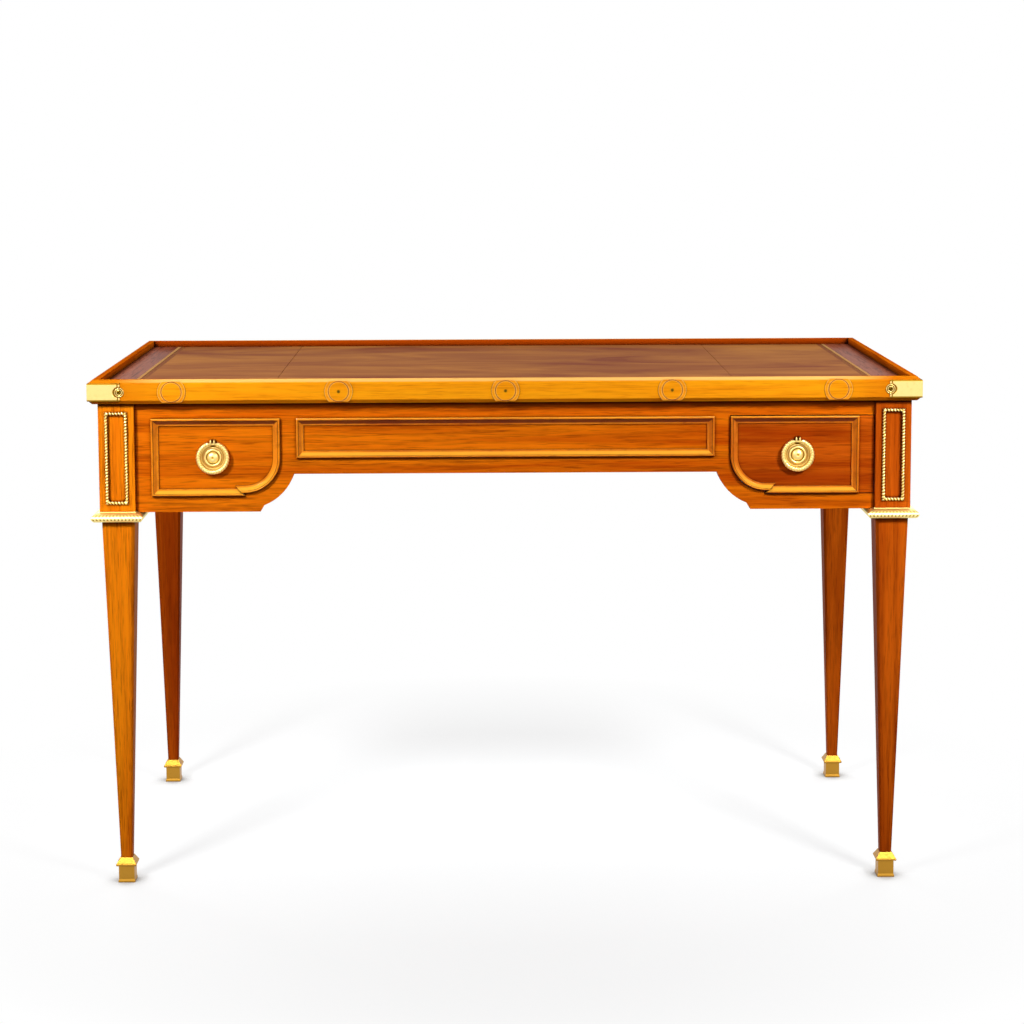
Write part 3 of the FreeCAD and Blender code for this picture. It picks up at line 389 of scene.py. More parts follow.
def polished_wood(name, grain, tones, rough, coat=0.0, streak=0.6, sheen=0.03, shade_reach=0.005, lip=None,
                  rubbed=None, dusted=None, under=()):
    """Polished wood in its pale, deep, pore and wax tones. The figure is noise drawn out along the grain:
    broad bands of about 30 mm, streaks of 4 mm, and pores, drawn 1.8 mm wide so that they show. Corners get
    painted shade in the wax tone, as far out as the given reach, and edges are softened by 0.6 mm. The polish
    is a thin amber film, so its sheen is tinted head on. With lip, the wood is a long edge of the top, with
    painted light and shade. Without it, the lips that a piece marks get a painted highlight. Slopes that look
    up get painted light in their own tone, and those that look down painted shade. A painted shadow lies 7 mm
    deep below overhangs, at the levels under."""
    pale, deep, pore, wax = tones
    material, tree, surface = finish(name)
    place = spot(tree)
    grained = drawn(tree, place, grain)
    bands = noise(tree, grained, 34.0, 4.0, Roughness=0.6, Distortion=0.8)
    streaks = noise(tree, grained, 230.0, 4.0, Roughness=0.68)
    pores = noise(tree, grained, 560.0, 2.0)
    colour = blend(tree, ramp(tree, bands, 0.34, 0.66), deep, pale)
    colour = blend(tree, ramp(tree, streaks, 0.48, 0.74, end=streak), colour, pore)
    colour = blend(tree, ramp(tree, pores, 0.55, 0.72, end=0.9 * streak), colour, pore)
    # Painted light and shade of a long edge, or a painted highlight on the lips that a piece marks
    if lip:
        colour = edge_light_and_shade(tree, place, colour, pore, rubbed, lip)
    elif rubbed:
        colour = blend(tree, hollows(tree), colour, rubbed)
    # Painted light on slopes that look up, and painted shade on those that look down
    if dusted:
        tilt = coordinate(tree, add(tree, "NewGeometry").outputs["Normal"], "Z")
        colour = blend(tree, ramp(tree, tilt, -0.1, -0.5, end=0.8), colour, pore)
        colour = blend(tree, ramp(tree, tilt, 0.1, 0.5, end=0.8), colour, dusted)
    # Painted shadow, 7 mm deep, below each overhang at the levels under
    for level in under:
        gap = reckon(tree, "ABSOLUTE", reckon(tree, "SUBTRACT", coordinate(tree, place, "Z"), level))
        colour = blend(tree, ramp(tree, gap, 0.0075, 0.002, end=0.85), colour, wax)
    soft = softened(tree, 0.0006)
    feed(tree, surface, {
        # Painted shade in corners: ambient occlusion darkens the colour towards the wax tone
        "Base Color": blend(tree, corners(tree, shade_reach, 0.4, 0.9), wax, colour),
        "Roughness": ramp(tree, bands, 0.3, 0.7, rough - 0.05, rough + 0.06),
        "Normal": bumped(tree, pores, 0.25, 0.0002, invert=True, Normal=soft),
        "Specular IOR Level": sheen, "Specular Tint": pale,
        "Coat Weight": coat, "Coat Roughness": 0.18, "Coat Normal": soft})
    return material


def worked_brass(name, tones, rough, low, high, blotch, brushed=(1.0, 1.0, 1.0)):
    """Brass in its bright, warm and tarnished tones: warm, then tarnished, where the piece's hollow
    attribute marks tarnish or a painted shadow, or a corner holds dirt, and in blotches of a few millimetres;
    brushed draws fine lines out."""
    bright, warm, tarnish = tones
    material, tree, surface = finish(name)
    place = spot(tree)
    patches = noise(tree, place, 160.0, 4.0, Roughness=0.65)
    lines = noise(tree, drawn(tree, place, brushed), 1400.0, 2.0)
    held = reckon(tree, "MAXIMUM", corners(tree, 0.0025, high, low), hollows(tree))
    dulled = reckon(tree, "MAXIMUM", held, ramp(tree, patches, 0.50, 0.72, end=blotch))
    warmed = blend(tree, ramp(tree, dulled, 0.0, 0.5), bright, warm)
    feed(tree, surface, {
        "Base Color": blend(tree, ramp(tree, dulled, 0.5, 1.0), warmed, tarnish),
        "Roughness": ramp(tree, dulled, 0.0, 1.0, rough, rough + 0.25),
        "Normal": bumped(tree, lines, 0.12, 0.00008, Normal=softened(tree, 0.0004)),
        "Metallic": 1.0})
    return material


def waxed_leather(name, tones, edge):
    """Old waxed calf in its worn, dark and tooled tones: cloudy patina drawn out along X, a grain of about
    1 mm, and a tooled band of 4 mm motifs at the outer ends, where abs(X) is past edge."""
    worn, dark, gold = tones
    material, tree, surface = finish(name)
    place = spot(tree)
    clouds = noise(tree, drawn(tree, place, (0.35, 1.0, 1.0)), 9.0, 5.0, Roughness=0.62, Distortion=0.7)
    patina = blend(tree, ramp(tree, clouds, 0.34, 0.68), dark, worn)
    tooled = blend(tree, ramp(tree, cells(tree, place, 260.0), 0.2, 0.5), gold, dark)
    out = reckon(tree, "ABSOLUTE", coordinate(tree, place, "X"))
    feed(tree, surface, {
        "Base Color": blend(tree, ramp(tree, out, edge - 0.0004, edge + 0.0004), patina, tooled),
        "Roughness": ramp(tree, clouds, 0.3, 0.7, 0.52, 0.49),
        "Normal": bumped(tree, cells(tree, place, 900.0), 0.3, 0.00012, invert=True),
        "Specular IOR Level": 0.0, "Coat Weight": 0.07, "Coat Roughness": 0.3})
    return material


def napped_baize(name, colour):
    """Green wool cloth with a short nap: fine fibres and a soft sheen."""
    material, tree, surface = finish(name)
    place = spot(tree)
    shade = ramp(tree, noise(tree, place, 12.0, 3.0), 0.3, 0.7, 0.8, 1.15)
    feed(tree, surface, {
        "Base Color": add(tree, "HueSaturation", {"Color": colour, "Value": shade}).outputs["Color"],
        "Normal": bumped(tree, noise(tree, place, 1500.0, 3.0), 0.5, 0.0002),
        "Roughness": 0.95, "Sheen Weight": 0.4})
    return material


# Surfaces

def grid(x, y, z):
    """Grid of points from their three coordinates, each of which may run one way only."""
    return np.stack(np.broadcast_arrays(x, y, z), -1)


def bell(value, middle, width):
    """Bell curve e^(-((value - middle) / width)^2)."""
    return np.exp(-((value - middle) / width) ** 2)


def round_steps(count):
    """Angles of a full turn, as one row."""
    return np.linspace(0, 2 * np.pi, count, endpoint=False)[None, :]


def grid_faces(rows, columns, loop_rows=False, loop_columns=False):
    """Quads between the points of a grid, row by row; a looped direction joins its last line to its first."""
    i = np.arange(rows if loop_rows else rows - 1)[:, None]
    j = np.arange(columns if loop_columns else columns - 1)[None, :]
    k = (i + 1) % rows
    m = (j + 1) % columns
    quads = np.stack(np.broadcast_arrays(
        i * columns + j, k * columns + j, k * columns + m, i * columns + m), -1)
    return quads.reshape(-1, 4)


def fan(ring):
    """Triangles that close a ring of points."""
    return np.stack([np.full(len(ring) - 2, ring[0]), ring[1:-1], ring[2:]], 1)


def tube(points, marks=0.0, looped=False):
    """Form of a grid whose columns go round, as (points, face arrays, marks of tarnish or painted light or
    shade): its rows join up where it is looped, and otherwise both its ends are closed."""
    rows, columns = points.shape[:2]
    faces = [grid_faces(rows, columns, looped, True)]
    if not looped:
        last = (rows - 1) * columns
        faces += [fan(np.arange(columns)), fan(np.arange(last + columns - 1, last - 1, -1))]
    return points.reshape(-1, 3), faces, np.broadcast_to(marks, (rows, columns)).ravel()


def shell(points, faces, hollow):
    """Closed shell as (points, face arrays, marks of each point: tarnish, or painted light or shade), facing
    outward by the sign of V = sum(p0 . (p1 x p2)) / 6."""
    volume = sum(
        np.sum(points[f[:, 0]] * np.cross(points[f[:, j]], points[f[:, j + 1]]))
        for f in faces for j in range(1, f.shape[1] - 1))
    return points, [f if volume > 0 else f[:, ::-1] for f in faces], hollow


def put(form, place, axis, sign):
    """Closed shell of a form of (across, up, out) points, at a place, with out along the X or Y axis, one
    way or the other."""
    points, faces, marks = form
    across, up, out = points.T
    turn = (sign * out, across, up) if axis == "x" else (across, sign * out, up)
    return shell(np.stack(turn, 1) + place, faces, marks)


def make_piece(name, shells, material, body, stands_for):
    """Mesh piece of closed shells, on its CAD body, in place of CAD nodes."""
    starts = np.cumsum([0] + [len(points) for points, _, _ in shells])
    faces = [
        row for start, (_, arrays, _) in zip(starts, shells) for f in arrays for row in (f + start).tolist()]
    mesh = bpy.data.meshes.new(name)
    mesh.from_pydata(np.concatenate([points for points, _, _ in shells]).tolist(), [], faces)
    mesh.polygons.foreach_set("use_smooth", np.ones(len(faces), bool))
    mesh.set_sharp_from_angle(angle=math.radians(38))
    marks = mesh.attributes.new("hollow", "FLOAT", "POINT")
    marks.data.foreach_set("value", np.concatenate([hollow for _, _, hollow in shells]).astype(np.float32))
    mesh.materials.append(material)
    made = bpy.data.objects.new(name, mesh)
    bpy.context.scene.collection.objects.link(made)
    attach(made, body)
    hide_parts(*stands_for)
    return made


def slab(upper, lower, hollow=0.0):
    """Closed slab between two grids of points, with a wall round their rims."""
    rows, columns = upper.shape[:2]
    count = rows * columns
    face = grid_faces(rows, columns)
    index = np.arange(count).reshape(rows, columns)
    rim = np.concatenate([index[:-1, 0], index[-1, :-1], index[:0:-1, -1], index[0, :0:-1]])
    after = np.roll(rim, -1)
    wall = np.stack([after, rim, rim + count, after + count], 1)
    points = np.concatenate([upper.reshape(-1, 3), lower.reshape(-1, 3)])
    marks = np.broadcast_to(hollow, (rows, columns)).ravel()
    return shell(points, [face, face[:, ::-1] + count, wall], np.concatenate([marks, marks]))


def turned(radius, out, hollow, sides=56):
    """Turned form as (across, up, out) points: the profile (radius, out), with its marks of tarnish or
    painted light, given from its foot to its middle, or as one column for each of the sides, swung round the
    out axis and closed at both ends."""
    swing = round_steps(sides)
    radius, out, hollow = (np.asarray(a, float).reshape(len(a), -1) for a in (radius, out, hollow))
    return tube(grid(radius * np.cos(swing), radius * np.sin(swing), out), hollow)


def quarter_turn(along, across, k):
    """Plan of one side of a mitred loop, from the run along it and the distance across to it: (along,
    -across) turned by k quarter turns."""
    return np.stack([(along, -across), (across, along), (-along, across), (-across, -along)][k], -1)


def rope_frame(sizes, rise):
    """Closed rope frame as (across, up, out) points, its faces and its tarnish. A strand's radius is R = r
    (1 - d (1 - |cos(phi / 2 + pi s / lay)|)), with the grooves d fading over the last 1.2 mm to the mitres,
    and s the run along the side; below its middle the rope stands on upright sides."""
    radius = sizes.rope_width / 2
    wide = sizes.rope_frame_width / 2 - radius
    tall = sizes.rope_frame_height / 2 - radius
    phi = round_steps(14)
    steps_to_lay, plain_end = 7, 0.0012
    rings = []
    marks = []
    for k, (half, away) in enumerate([(wide, tall), (tall, wide)] * 2):
        q = np.linspace(-1, 1, int(2 * half / sizes.rope_lay * steps_to_lay), endpoint=False)[:, None]
        fade = np.clip((1 - np.abs(q)) * half / plain_end, 0, 1)
        strand = np.abs(np.cos(phi / 2 + np.pi * q * (half + radius * np.cos(phi)) / sizes.rope_lay))
        r = radius * (1 - sizes.rope_groove * fade * (1 - strand))
        lateral = r * np.cos(phi)
        out = np.where(np.sin(phi) > -0.1, np.maximum(rise - radius + r * np.sin(phi), 0), 0)
        plan = quarter_turn(q * (half + lateral), away + lateral, k)
        rings.append(np.concatenate([plan, out[..., None]], -1))
        marks.append(np.clip(fade * (1.6 * (1 - strand) - 0.3), 0, 1))
    return tube(np.concatenate(rings), np.concatenate(marks), looped=True)


def carved_collar(sizes):
    """Square collar round a leg as (x, y, height) points, its faces and its tarnish. Its half width is a
    fillet over a full round, neck + swell (sqrt(1 - (1 - b)^2) + sin(pi b / 2)) / 2 with b = u / 0.6 down
    to u = 0.6 of the height, tucked in again towards the foot, less grooves g(u) (1 - |cos(n pi q / 2)|)
    between the leaves. A row of leaf tips under the fillet is warm, and tarnish lies in a dot near the foot
    of each groove."""
    rise = sizes.collar_height
    fillet = rise * 0.05
    widest = 0.6
    turn = np.linspace(0, 1, 26) ** 1.4
    belly = np.minimum(turn / widest, 1)
    tuck = sizes.collar_tuck * np.maximum((turn - widest) / (1 - widest), 0) ** 2
    swell = (sizes.collar_widest - sizes.collar_neck) / 2
    ovolo = sizes.collar_neck + swell * (np.sqrt(1 - (1 - belly) ** 2) + np.sin(np.pi / 2 * belly)) - tuck
    bore, neck = sizes.collar_bore, sizes.collar_neck
    half = np.concatenate([[bore, neck, neck], ovolo, [bore]])
    drop = np.concatenate([[0, 0, fillet * 0.9], fillet + (rise - fillet) * turn, [rise]])
    down = np.clip((drop - fillet) / (rise - fillet), 0, 1)
    depth = 0.2 + 0.8 * bell(down, 0.80, 0.13)
    depth[[0, 1, 2, 3, -1]] = 0
    q = np.linspace(-1, 1, 10 * sizes.collar_lobes, endpoint=False)[:, None]
    fade = np.clip((1 - np.abs(q)) * sizes.collar_lobes, 0, 1)
    groove = 1 - np.abs(np.cos(np.pi * q * sizes.collar_lobes / 2))
    width = half - sizes.collar_relief * depth * fade * groove
    plan = np.concatenate([quarter_turn(q * width, width, k) for k in range(4)])
    dots = 1.8 * fade * groove ** 2 * bell(down, 0.72, 0.08)
    tips = (0.5 + 0.5 * np.cos(np.pi * q * sizes.collar_lobes)) * bell(down, 0.30, 0.09)
    marks = np.tile(np.clip(dots + 0.5 * tips, 0, 1), (4, 1))
    return tube(grid(plan[..., 0], plan[..., 1], -drop), marks, looped=True)


def leafy_ring(sizes):
    """Pull ring as (across, up, out) points about its middle: an open torus of leaves,
    R = r (1 - d (1 - |cos(n theta - 1.2 |phi|)|)), theta from the top on either side and phi from the front,
    and the pin that closes it, which runs 1 mm into each end."""
    opening = sizes.ring_opening
    plain_end, bite = 0.12, 0.001
    span = np.linspace(opening, 2 * np.pi - opening, 16 * sizes.ring_leaves + 1)[:, None]
    from_top = np.minimum(span, 2 * np.pi - span)
    phi = np.linspace(-np.pi, np.pi, 24, endpoint=False)[None, :]
    leaf = np.abs(np.cos(sizes.ring_leaves * from_top - 1.2 * np.abs(phi)))
    fade = np.clip((from_top - opening) / plain_end, 0, 1)
    r = sizes.ring_stuff / 2 * (1 - sizes.ring_relief * fade * (1 - leaf))
    reach = sizes.ring_radius + r * np.sin(phi)
    band = grid(reach * np.sin(span), reach * np.cos(span), r * np.cos(phi))
    turn = round_steps(24)
    half = np.array([-1, 1])[:, None] * (sizes.ring_radius * math.sin(opening) + bite)
    level = sizes.ring_radius * math.cos(opening)
    pin = grid(half, level + sizes.ring_pin / 2 * np.sin(turn), sizes.ring_pin / 2 * np.cos(turn))
    return tube(band, 0.42 * fade * (1 - leaf) ** 1.6), tube(pin)


def moulding_profile(sizes):
    """Moulding's outline as (inward, out) points from its outer edge: an upright edge, a round bead, a quirk,
    a slope that falls to a flat inner fillet, its upright step down to the field, and the flat back."""
    r = sizes.moulding_bead
    turn = np.linspace(-0.5, np.pi + 0.35, 13)
    fall = np.linspace(0, 1, 7)
    start, foot = 2.15 * r, sizes.moulding_width - sizes.moulding_fillet
    low, high = 0.0017, sizes.moulding_rise - 0.0007
    bead = r - r * np.cos(turn), sizes.moulding_rise - r + r * np.sin(turn)
    slope = start + (foot - start) * fall, low + (high - low) * (1 - fall) ** 1.15
    inward = np.concatenate([[0, 0], bead[0], slope[0], [sizes.moulding_width] * 2])
    out = np.concatenate([[0, sizes.moulding_rise - 1.6 * r], bead[1], slope[1], [low, 0]])
    return inward, out


def carried(path, profile, ends=None):
    """Profile carried along a path of (across, up) points with the panel on its right, as (across, up, out)
    points: p + inward m, with the mitre m = (n1 + n2) / (1 + n1 . n2) of the normals before and after a
    point. The path closes on itself, or stops at two ends whose mitres are given."""
    inward, out = profile
    ahead = np.roll(path, -1, 0) - path
    ahead /= np.linalg.norm(ahead, axis=1, keepdims=True)
    normal = np.stack([ahead[:, 1], -ahead[:, 0]], 1)
    before = np.roll(normal, 1, 0)
    mitre = (normal + before) / (1 + np.sum(normal * before, 1, keepdims=True))
    if ends:
        mitre[[0, -1]] = ends
    flat = path[:, None, :] + inward[None, :, None] * mitre[:, None, :]
    return tube(grid(flat[..., 0], flat[..., 1], out), looped=not ends)


def drawer_path(sizes, low, high):
    """Outer edge of a drawer's moulding from its nib round to its nib, as (across, up) points: along the
    foot, round the lower inner corner by an arc, and square round the other corners."""
    foot = low.z + sizes.nib_step
    centre = low.x + sizes.corner_radius
    swing = np.linspace(-np.pi / 2, -np.pi, 25)
    arc = np.stack([np.cos(swing), np.sin(swing) + 1], 1) * sizes.corner_radius + (centre, foot)
    square = [(low.x, high.z), (high.x, high.z), (high.x, low.z), (centre, low.z)]
    return np.concatenate([[(centre + sizes.nib_step, foot)], arc, square])


def turned_rose():
    """Rose in the middle of a pull as (across, up, out) points: a thin rim, a round bead, a quirk, and a
    dome with a dimple, from a turned profile of (radius, out, tarnish) in millimetres, with a notch sunk 0.8
    mm in the rim under the lug, painted fully dark as its shadow, e^(-(across / 4.2 mm)^4 - ((up - 16.7 mm) /
    1.4 mm)^4)."""
    turn = np.linspace(0, np.pi, 13)
    climb = np.linspace(0, np.pi / 2 - 0.27, 12)
    rim = [(18.6, 0.0, 0.4), (18.6, 1.1, 0.25), (18.3, 1.3, 0.15), (17.1, 1.6, 0.1), (15.9, 1.2, 0.45),
           (15.0, 2.1, 0.1), (13.8, 2.3, 0.15)]
    dirt = 0.3 * np.exp(-turn / 0.25) + 0.6 * np.exp((turn - np.pi) / 0.12)
    bead = np.stack([11.35 + 2.05 * np.cos(turn), 2.8 + 2.7 * np.sin(turn), dirt], 1)
    quirk = [(9.1, 3.1, 0.7)]
    dome = np.stack([8.8 * np.cos(climb), 3.2 + 5.2 * np.sin(climb), 0.6 * np.exp(-climb / 0.1)], 1)
    dimple = [(1.7, 7.9, 0.3), (1.1, 7.68, 0.5), (0.2, 7.68, 0.5)]
    radius, out, marks = np.concatenate([rim, bead, quirk, dome, dimple]).T
    points, faces, held = turned(radius / 1000, out / 1000, marks, 112)
    across, up, _ = points.T
    # Painted shadow under the lug: a shallow notch, marked fully dark
    notch = np.exp(-(across / 0.0042) ** 4 - ((up - 0.0167) / 0.0014) ** 4)
    return points - notch[:, None] * (0, 0, 0.0008), faces, np.maximum(held, notch)


def lug_prong(sizes, side):
    """One of the two rounded prongs of a pull's lug as (across, up, out) points: a turned knuckle, by its
    (radius, out, tarnish) in millimetres, drawn out upwards to 2.8 times its width."""
    knuckle = np.array([
        (1.3, 0.0, 1.0), (1.3, 9.2, 0.6), (1.2, 10.0, 0.1), (0.8, 10.4, 0.0), (0.1, 10.5, 0.0)])
    radius, out, marks = knuckle.T
    points, faces, held = turned(radius / 1000, out / 1000, marks, 28)
    return points * (1, 2.8, 1) + (side * sizes.prong_x, sizes.prong_z, 0), faces, held


def dressed_strap(sizes):
    """Strap round one corner as two grids and its marks, dark olive along the bevels, round the bite and in
    the groove. Across it v runs from -half to half, and along it t runs from the end on one face through the
    corner to the end on the other. Its height is the thickness times the smaller of two bevels, one at the
    upper and lower edges and one at the end, less a groove near the end; the end is bitten out round the
    boss, reach(v) = L + 1.2 mm, or L - sqrt(r^2 - v^2) where abs(v) < r."""
    half = sizes.strap_half
    inset = half - sizes.strap_bevel
    past_boss, end_bevel, half_groove = 0.0012, 0.0004, 0.0008
    bevels = [-half, -inset - 0.0002, inset + 0.0002, half]
    v = np.unique(np.concatenate([np.linspace(-inset, inset, 45), bevels]))[:, None]
    bitten = np.sqrt(np.maximum(sizes.strap_bite ** 2 - v ** 2, 0))
    reach = sizes.strap_reach + np.where(bitten > 0, -bitten, past_boss)
    t = np.concatenate([np.linspace(0, 0.86, 10), np.linspace(0.88, 1, 31)])[None, :]
    left = reach * (1 - t)
    bevel = np.clip((half - np.abs(v)) / sizes.strap_bevel, 0, 1)
    end = np.clip(left / np.where(bitten > 0, sizes.strap_bevel, end_bevel), 0.2, 1)
    groove = np.where(bitten > 0, 0, np.exp(-((left - sizes.strap_groove) / half_groove) ** 4))
    rise = sizes.strap_thickness * np.minimum(0.7 + 0.3 * bevel, end) * (1 - 0.55 * groove)
    olive = np.maximum(np.clip(8 * (1 - bevel), 0, 1), np.where(bitten > 0, 1.6 * (1 - end), 0))
    marks = np.clip(np.maximum(olive, groove), 0, 0.92)

    def lay(h):
        """Points at the height h over the faces of the edge."""
        run = t * (reach + h)
        long = grid(sizes.edge_x + h - run, sizes.edge_y + h, sizes.edge_z + v)
        short = grid(sizes.edge_x + h, sizes.edge_y + h - run, sizes.edge_z + v)
        return np.concatenate([long[:, ::-1], short[:, 1:]], 1)

    return lay(rise), lay(0.0 * rise), np.concatenate([marks[:, ::-1], marks[:, 1:]], 1)


def turned_boss(sizes):
    """Boss round a strap's screw: two beads with a quirk between them, round a sunk seat."""
    turn = np.linspace(0, np.pi, 9)
    half_bead, foot, rise, seat = 0.00075, 0.0004, 0.0009, 0.0003
    across, up = half_bead * np.cos(turn), foot + rise * np.sin(turn)
    outer, inner = sizes.boss_radius - 0.0008, sizes.boss_radius - 0.0032
    sunk = np.exp(-turn / 0.5) + np.exp((turn - np.pi) / 0.5)
    radius = np.concatenate([
        [sizes.boss_radius], outer + across, inner + across, [sizes.screw_radius, 0.0002]])
    out = np.concatenate([[0.0], up, up, [seat, seat]])
    return turned(radius, out, np.concatenate([[0.9], sunk, sunk, [1.0, 1.0]]))


def slotted_head(sizes):
    """Domed screw head with a slot: out = 0.45 mm + 1.1 mm sqrt(1 - 0.8 s^2) less 0.5 mm where the slot runs,
    abs(r sin(theta - 0.5)) < 0.45 mm, with sides that slope over 0.2 mm."""
    sides = 56
    s = np.linspace(1, 0.04, 14)[:, None]
    away = np.abs(sizes.screw_radius * s * np.sin(round_steps(sides) - 0.5))
    slot = np.clip((0.00065 - away) / 0.0002, 0, 1)
    dome = 0.00045 + 0.0011 * np.sqrt(1 - 0.8 * s ** 2) - 0.0005 * slot
    out = np.concatenate([np.full((1, sides), 0.0003), dome])
    radius = sizes.screw_radius * np.concatenate([[[1.0]], s])
    return turned(radius, out, np.concatenate([np.ones((1, sides)), slot]), sides)


def turned_roundel(sizes):
    """Roundel as (across, up, out) points: a disc and a ring, each edged by a V groove with a lip that
    carries a painted highlight, trimmed at half its height, R(theta) = min(r, half / |sin theta|); its wall
    runs back into the bevels of the edge. The ring's rows are (share of its width, rise, painted highlight)
    and the disc's are (radius, rise, painted highlight), with lengths in millimetres for a disc that stands
    1.6 mm proud."""
    sides = 96
    swing = round_steps(sides)
    rim = np.minimum(sizes.roundel_radius, sizes.roundel_half / np.maximum(np.abs(np.sin(swing)), 1e-6))
    # Third column of the ring and disc rows: painted highlight on the lips
    ring = np.array([(1.0, 0.3, 0.1), (0.97, 1.1, 0.8), (0.82, 1.0, 0.05), (0.4, 1.1, 0.0), (0.1, 1.4, 0.3)])
    disc = np.array([(15.0, 1.2, 0.5), (14.6, 0.2, 0.0), (14.2, 1.0, 0.7), (13.8, 1.5, 0.4), (12.8, 1.5, 0.0),
                     (10.0, 1.6, 0.0), (5.0, 1.6, 0.0), (0.3, 1.6, 0.0)])
    inner = sizes.roundel_ring
    radius = np.concatenate([rim, inner + ring[:, :1] * (rim - inner), np.minimum(disc[:, :1] / 1000, rim)])
    back = -np.maximum(np.abs(rim * np.sin(swing)) - sizes.edge_flat, 0) - 0.0004
    rise = np.concatenate([ring, disc])[:, 1:2] / 1.6 * sizes.roundel_proud
    out = np.concatenate([back, np.broadcast_to(rise, (len(rise), sides))])
    return turned(radius, out, np.concatenate([[0.0], ring[:, 2], disc[:, 2]]), sides)


def skin(low_x, high_x, low_y, high_y, foot, top, swell, seed):
    """Thin skin as a closed slab. Its face is h = top - swell (1 + sum of sines) / 2 - 0.35 mm e^(-d / 1 mm),
    with d the distance to the nearest edge; its steps close up towards the edges."""
    t = np.linspace(-1, 1, 90)
    steps = np.sign(t) * (1 - (1 - np.abs(t)) ** 1.6)
    x = ((low_x + high_x) / 2 + (high_x - low_x) / 2 * steps)[:, None]
    y = ((low_y + high_y) / 2 + (high_y - low_y) / 2 * steps)[None, :]
    waves = (np.sin(23 * x + 17 * y + seed) + np.sin(41 * x - 29 * y + 2 * seed)
             + np.sin(67 * y + 13 * x + 3 * seed)) / 3
    edge = np.minimum(np.minimum(x - low_x, high_x - x), np.minimum(y - low_y, high_y - y))
    rolled, margin = 0.00035, 0.001
    face = top - swell * (1 + waves) / 2 - rolled * np.exp(-edge / margin)
    return slab(grid(x, y, face), grid(x, y, np.full_like(face, foot)))


def wear(nodes, material):
    """Gives CAD nodes, named in one string, their one material."""
    for node in nodes.split():
        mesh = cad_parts[node].data
        mesh.materials.clear()
        mesh.materials.append(material)


# Operators

class GAMES_OT_wood(Operator):
    """Finishes every wooden CAD node"""

    bl_idname = "games_table.wood"
    bl_label = "Finish the wood"

    def execute(self, context):
        sizes, colours = settings(context)
        rail, collar = rail_low.z, sizes.collar_top - sizes.collar_height
        even = (0.5, 0.5, 0.5)
        # A painted shadow lies below the levels under: the top frame, on friezes and legs, and the collars,
        # on legs
        upright_face = {"sheen": 0.01, "under": [rail, collar]}
        # The edges get painted shade in their corners out to 12 mm
        edge_face = {"streak": 0.45, "sheen": 0.0, "shade_reach": 0.012}
        rubbed, = tones_of(colours, "edge_rubbed")
        for name, grain, names, rough, more, nodes in (
                # French polish over straight-grained mahogany, by the run of the grain: a low amber sheen
                ("Satin amber mahogany, long grain", LONG, "amber_pale amber_deep pore wax", 0.42,
                 {"streak": 0.62, "under": [rail]}, "front_frieze back_frieze"),
                ("Satin amber mahogany, cross grain", CROSS, "amber_pale amber_deep pore wax", 0.42, {},
                 "left_frieze right_frieze well_partition_left well_partition_right well_bar"),
                ("Satin honey mahogany, upright grain", UPRIGHT, "honey_pale honey_deep pore wax", 0.42,
                 {"streak": 0.5, **upright_face}, "leg_front_left"),
                # Redder boards of the same wood
                ("Satin russet mahogany, long grain", LONG, "russet_pale russet_deep pore wax", 0.42,
                 {"streak": 0.65}, "front_drawer_front back_drawer_front"),
                ("Satin russet mahogany, upright grain", UPRIGHT, "russet_pale russet_deep pore wax", 0.42,
                 {"streak": 0.55, **upright_face}, "leg_front_right leg_back_left leg_back_right"),
                # Paler mahogany of the top frame, with painted light and shade: a highlight along the arris,
                # darker ends and a shaded inner face
                ("Pale mahogany edge, long grain", LONG, "edge_pale edge_deep amber_deep wax", 0.38,
                 {"lip": sizes.edge_lip, "rubbed": rubbed, **edge_face},
                 "top_rail_front top_rail_back edge_roundels"),
                # Side rails of the top frame in the darker amber tones: painted shade on their faces that
                # look up
                ("Amber mahogany edge, cross grain", CROSS, "amber_pale amber_deep pore wax", 0.38, edge_face,
                 "top_rail_left top_rail_right"),
                # Scraped and polished mouldings, bright along their crests
                ("Polished mahogany moulding", even, "bead_pale bead_deep pore wax", 0.34, {"streak": 0.35},
                 "front_panel_moulding back_panel_moulding left_panel_moulding right_panel_moulding"
                 " sham_drawer_mouldings front_drawer_moulding back_drawer_moulding"),
                # Deep gloss polish on the end strips and the floor of the well, which mirrors the room
                ("Gloss mahogany strip", CROSS, "strip_pale strip_deep wax wax", 0.3,
                 {"coat": 0.2, "sheen": 0.0}, "end_strips well_floor"),
                # Planed oak linings, left without polish
                ("Planed oak lining", CROSS, "oak_pale oak_deep oak_deep wax", 0.7, {},
                 "front_drawer_sides front_drawer_back front_drawer_bottom back_drawer_sides back_drawer_back"
                 " back_drawer_bottom drawer_bay_floors drawer_guides end_boards games_panel_board"),
                # Polished inlay of the stringing and the points
                ("Boxwood inlay", CROSS, "boxwood boxwood amber_deep wax", 0.35,
                 {"streak": 0.2, "sheen": 0.0}, "end_stringing well_points_light"),
                ("Ebonised inlay", CROSS, "ebony ebony wax wax", 0.35, {"streak": 0.2}, "well_points_dark")):
            wear(nodes, polished_wood(name, grain, tones_of(colours, names), rough, **more))
        return {"FINISHED"}


